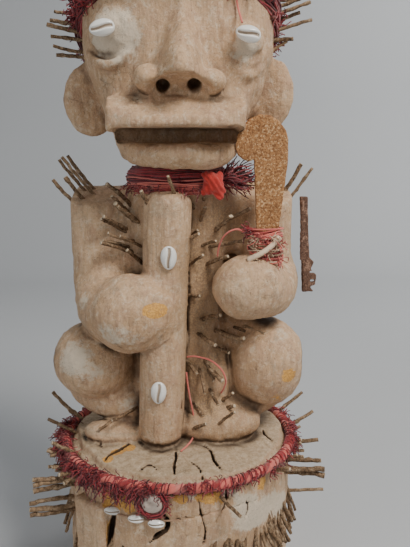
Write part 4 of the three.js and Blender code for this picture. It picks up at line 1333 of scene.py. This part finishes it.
def make_cowries():
    cowrie("horn_cowrie_upper_shell", "horn_cowrie_upper", (7.4, 4.5, 11), False, 0)
    cowrie("horn_cowrie_lower_shell", "horn_cowrie_lower", (7.4, 4.5, 11), False, -2)
    cowrie("eye_cowrie_right_shell", "eye_cowrie_right", (7.2, 4.4, 11), True, 9)
    cowrie("eye_cowrie_left_shell", "eye_cowrie_left", (7.2, 4.4, 11), True, -13)
    for k in (1, 2, 3):
        cowrie(f"base_cowrie_{k}_shell", f"base_cowrie_{k}", (4, 3.8, 7.6), True, -6)


# Ironwork

def outline_plate(outline, y, thickness, rounding):
    """A plate of even thickness across Y whose outline is given by (x, z) corners."""
    corners = np.asarray(outline, float)

    def distance(x, yy, z):
        best, winding = None, 1.0
        for k in range(len(corners)):
            ax, az = corners[k]
            bx, bz = corners[k - 1]
            ex, ez = bx - ax, bz - az
            t = np.clip(((x - ax) * ex + (z - az) * ez) / (ex * ex + ez * ez), 0, 1)
            gap = (x - ax - t * ex) ** 2 + (z - az - t * ez) ** 2
            best = gap if best is None else np.minimum(best, gap)
            crosses = (az > z) != (bz > z)
            side = x < ax + (z - az) / (ez if ez else 1e-9) * ex
            winding = winding * np.where(crosses & side, -1.0, 1.0)
        flat = winding * np.sqrt(best)
        return smooth_max(flat, np.abs(yy - y) - thickness / 2, rounding)

    low = np.array([corners[:, 0].min(), y - thickness / 2, corners[:, 1].min()])
    return low, np.array([corners[:, 0].max(), y + thickness / 2, corners[:, 1].max()]), distance


BLADE_OUTLINE = [
    (91, 352), (76, 352), (73, 404), (71, 446), (66, 444.5), (61, 446), (56, 450), (53.5, 457), (55, 466), (59, 475),
    (66, 482), (76, 486.5), (85, 485.5), (94, 480), (100, 472), (102.4, 463), (102, 441), (98, 405), (94, 374),
]


def make_blade():
    iron = Clay((48, -51, 348), (108, -39, 492), 0.8)
    iron.add(outline_plate(BLADE_OUTLINE, -45, 4.6, 1.4))
    made = iron.surface("blade_iron", [BLADE_RUST], 30000)
    points, normals = mesh_points(made), mesh_normals(made)
    set_points(made, points + normals * (0.25 * rough(points, 7, 11))[:, None])
    dress(made, "blade_iron", "blade")


KEY_OUTLINE = [
    (124.3, 408.6), (132, 408.6), (133.5, 380), (135.6, 346), (140.6, 342), (137.6, 334.4), (143.6, 328), (142.6, 318),
    (137.6, 315.4), (141.4, 310.4), (129.4, 310.4), (127.5, 350),
]


def make_key():
    iron = Clay((116, -4, 304), (150, 14, 414), 0.8)
    iron.add(outline_plate(KEY_OUTLINE, 4.5, 6, 1.6))
    iron.add(limb([(126.5, 2.2, 404), (127, 2.2, 345)], [1.5]), 0.6)
    iron.cut(limb([(129.5, 0.5, 398), (131.5, 0.5, 346)], [1.0, 1.1]), 0.5)
    iron.cut(block((139.5, 4, 331), (3, 6, 1.3), rounding=0.4), 0.5)
    iron.cut(block((139.5, 4, 322), (2.4, 6, 1.2), rounding=0.4), 0.5)
    made = iron.surface("key_iron", [KEY_RUST], 16000)
    points, normals = mesh_points(made), mesh_normals(made)
    relief = 0.3 * rough(points, 6, 21) - 0.5 * np.clip(lumps(points, 3.5, 24) - 0.45, 0, 1)
    set_points(made, points + normals * relief[:, None])
    dress(made, "key_iron", "key")


def make_blade_binding():
    random = np.random.default_rng(SEED + 5)
    rings = []
    for k in range(20):
        t = np.linspace(0, 2 * math.pi, 34)
        height = 371 + 12 * random.uniform() + 0 * t
        slope = random.normal(0, 1.5)
        wide, deep = random.uniform(12, 16), random.uniform(4.5, 8)
        rings.append(np.stack([84 + wide * np.cos(t), -45 + deep * np.sin(t), height + slope * np.cos(t)], axis=1))
    lower = []
    for k in range(34):
        t = np.linspace(0, 2 * math.pi, 34)
        height = 351 + 22 * random.uniform() + 0 * t
        slope = random.normal(0, 4)
        wide, deep = random.uniform(11, 17), random.uniform(5, 11)
        lower.append(np.stack([83 + wide * np.cos(t), -46 + deep * np.sin(t), height + slope * np.cos(t + 1)], axis=1))
    fluff = [frayed((84 + random.uniform(-13, 13), -52, 366 + random.uniform(-12, 12)),
                    (random.uniform(-1, 1), -0.5, random.uniform(-0.7, 0.4)), 12, 10, 0.6, 0.2, random) for _ in range(14)]
    dark = [frayed((69, -48, 379), (-0.9, -0.2, 0.3), 26, 11, 0.6, 0.1, random)]
    strip = [np.array([(65, -60, 355), (70, -61, 358), (78, -61, 362), (87, -58, 368), (95, -53, 375)], float)]
    groups = [(np.array(rings), 0.8, 5, None, 1), (np.array(lower[:18]), 0.8, 5, None, 1), (np.array(lower[18:]), 0.7, 4, None, 2),
              (np.concatenate(fluff[:7]), 0.45, 3, None, 2), (np.concatenate(fluff[7:]), 0.45, 3, None, 1),
              (np.concatenate(dark), 0.5, 3, None, 0), (spline(strip[0], 14)[None], 2.6, 8, 0.9, 2)]
    dress(yarn_piece("blade_binding_threads", groups, [DARK_YARN, PINK_YARN, FIBRE]), "red_yarn", "blade_binding")


# The round shell on the rim and what is wound round it

RIM_SHELL_ANGLE = -102


def shell_frame():
    """The shell's middle, and its directions to the side and outwards."""
    low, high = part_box("rim_shell")
    middle = 0.5 * (np.array(low) + np.array(high)) / MM
    return middle, on_drum(RIM_SHELL_ANGLE + 90, 1, 0), on_drum(RIM_SHELL_ANGLE, 1, 0)


def make_rim_shell():
    middle, side, out = shell_frame()
    shell = Clay(middle - 16, middle + 16, 0.8)
    shell.add(egg(middle, (10, 3, 10), turn=RIM_SHELL_ANGLE + 90))
    shell.add(egg(middle + side * 4 + (0, 0, 2), (3.5, 3.8, 3), turn=RIM_SHELL_ANGLE + 90), 1)
    shell.cut(egg(middle + out * 3 - side * 2, (3.5, 1.6, 2.5), turn=RIM_SHELL_ANGLE + 90), 1)
    made = shell.surface("rim_shell_disc", [DULL_SHELL], 9000)
    points, normals = mesh_points(made), mesh_normals(made)
    set_points(made, points + normals * (0.4 * rough(points, 5, 41))[:, None])
    dress(made, "rim_shell", "rim_shell")


def make_shell_binding():
    random = np.random.default_rng(SEED + 6)
    middle, side, out = shell_frame()
    t = np.linspace(0, 2 * math.pi, 40)
    rings = []
    for k in range(16):
        size = 12.3 + random.uniform(-1.5, 2.2)
        lift = random.uniform(-1.2, 1.4)
        wave = 0.6 * np.sin(5 * t + random.uniform(0, 6))
        rings.append(middle + side * (size * np.cos(t) + wave)[:, None] + out * lift + np.array([0, 0, 1]) * (size * np.sin(t) + wave)[:, None])
    ends = [frayed(middle + side * 13 * math.cos(a) + np.array([0, 0, 13 * math.sin(a)]), side * math.cos(a) + out * 0.4 + np.array([0, 0, math.sin(a)]),
                   5, 6, 0.5, 0.3, random) for a in np.linspace(0, 6, 9)]
    groups = [(np.array(rings), 0.7, 4, None, 0), (np.concatenate(ends), 0.4, 3, None, 0)]
    dress(yarn_piece("rim_shell_threads", groups, [DARK_YARN]), "red_yarn", "rim_shell_binding")


def make_cowrie_string():
    angles = np.radians(np.linspace(-133, -90, 30))
    height = 128.5 + 4 * ((np.degrees(angles) + 110) / 22) ** 2 * 0.5
    path = np.stack([118.6 * np.cos(angles), 118.6 * np.sin(angles), height], axis=1)[None]
    dress(yarn_piece("cowrie_string", [(path, 0.8, 6, 0.2, 0)], [FIBRE]), "red_thread")


carving = bpy.data.objects["carving"]
sight = Sight(carving)
make_cad_twigs()
make_bundles()
pixel_twigs("chest_twigs", sight, CHEST_TWIG_PIXELS)
pixel_twigs("lap_twigs", sight, LAP_TWIG_PIXELS)
rim_twigs()
skirt_twigs()
head_twigs()
make_neck_yarn()
make_head_yarn()
make_rim_cord()
make_neck_tuft()
make_neck_knot()
make_cowries()
make_blade()
make_key()
make_blade_binding()
make_rim_shell()
make_shell_binding()
make_cowrie_string()


# Floor, backdrop and light

def make_stage():
    paint = Paint("backdrop", 0.95, specular=0.1)
    colour = paint.mix(paint.noise(900, 2), (0.50, 0.51, 0.515), (0.55, 0.56, 0.565))
    depth, height, curve, half_width = 1500.0, 3200.0, 700.0, 4200.0
    turn = np.linspace(0, math.pi / 2, 24)
    sweep = [(-3000.0, 0.0)] + [(depth + curve * math.sin(a), curve - curve * math.cos(a)) for a in turn]
    sweep.append((depth + curve, height))
    points = [(x, y, z) for y, z in sweep for x in (-half_width, half_width)]
    quads = [(2 * k, 2 * k + 1, 2 * k + 3, 2 * k + 2) for k in range(len(sweep) - 1)]
    floor = make_object("floor", points, quads, materials=[paint.finish(colour)])


def add_light(name, place, aim, size, power, colour=(1, 1, 1)):
    data = bpy.data.lights.new(name, "AREA")
    data.size = size
    data.energy = power
    data.color = colour
    light = bpy.data.objects.new(name, data)
    light.location = place
    direction = np.array(aim) - np.array(place)
    light.rotation_euler = Vector(direction).to_track_quat("-Z", "Y").to_euler()
    bpy.context.scene.collection.objects.link(light)


make_stage()
add_light("key", (0.9, -1.0, 1.9), (0, 0, 0.35), 0.7, 42, (1.0, 0.97, 0.93))
add_light("fill", (-1.6, -1.6, 0.9), (0, 0, 0.35), 1.4, 10, (0.95, 0.98, 1.0))
add_light("back_right", (1.6, 1.1, 1.3), (0.2, 1.8, 0.6), 1.0, 16)

world = bpy.data.worlds.new("soft_room")
world.use_nodes = True
world.node_tree.nodes["Background"].inputs["Color"].default_value = (0.80, 0.84, 0.90, 1)
world.node_tree.nodes["Background"].inputs["Strength"].default_value = 0.28
bpy.context.scene.world = world
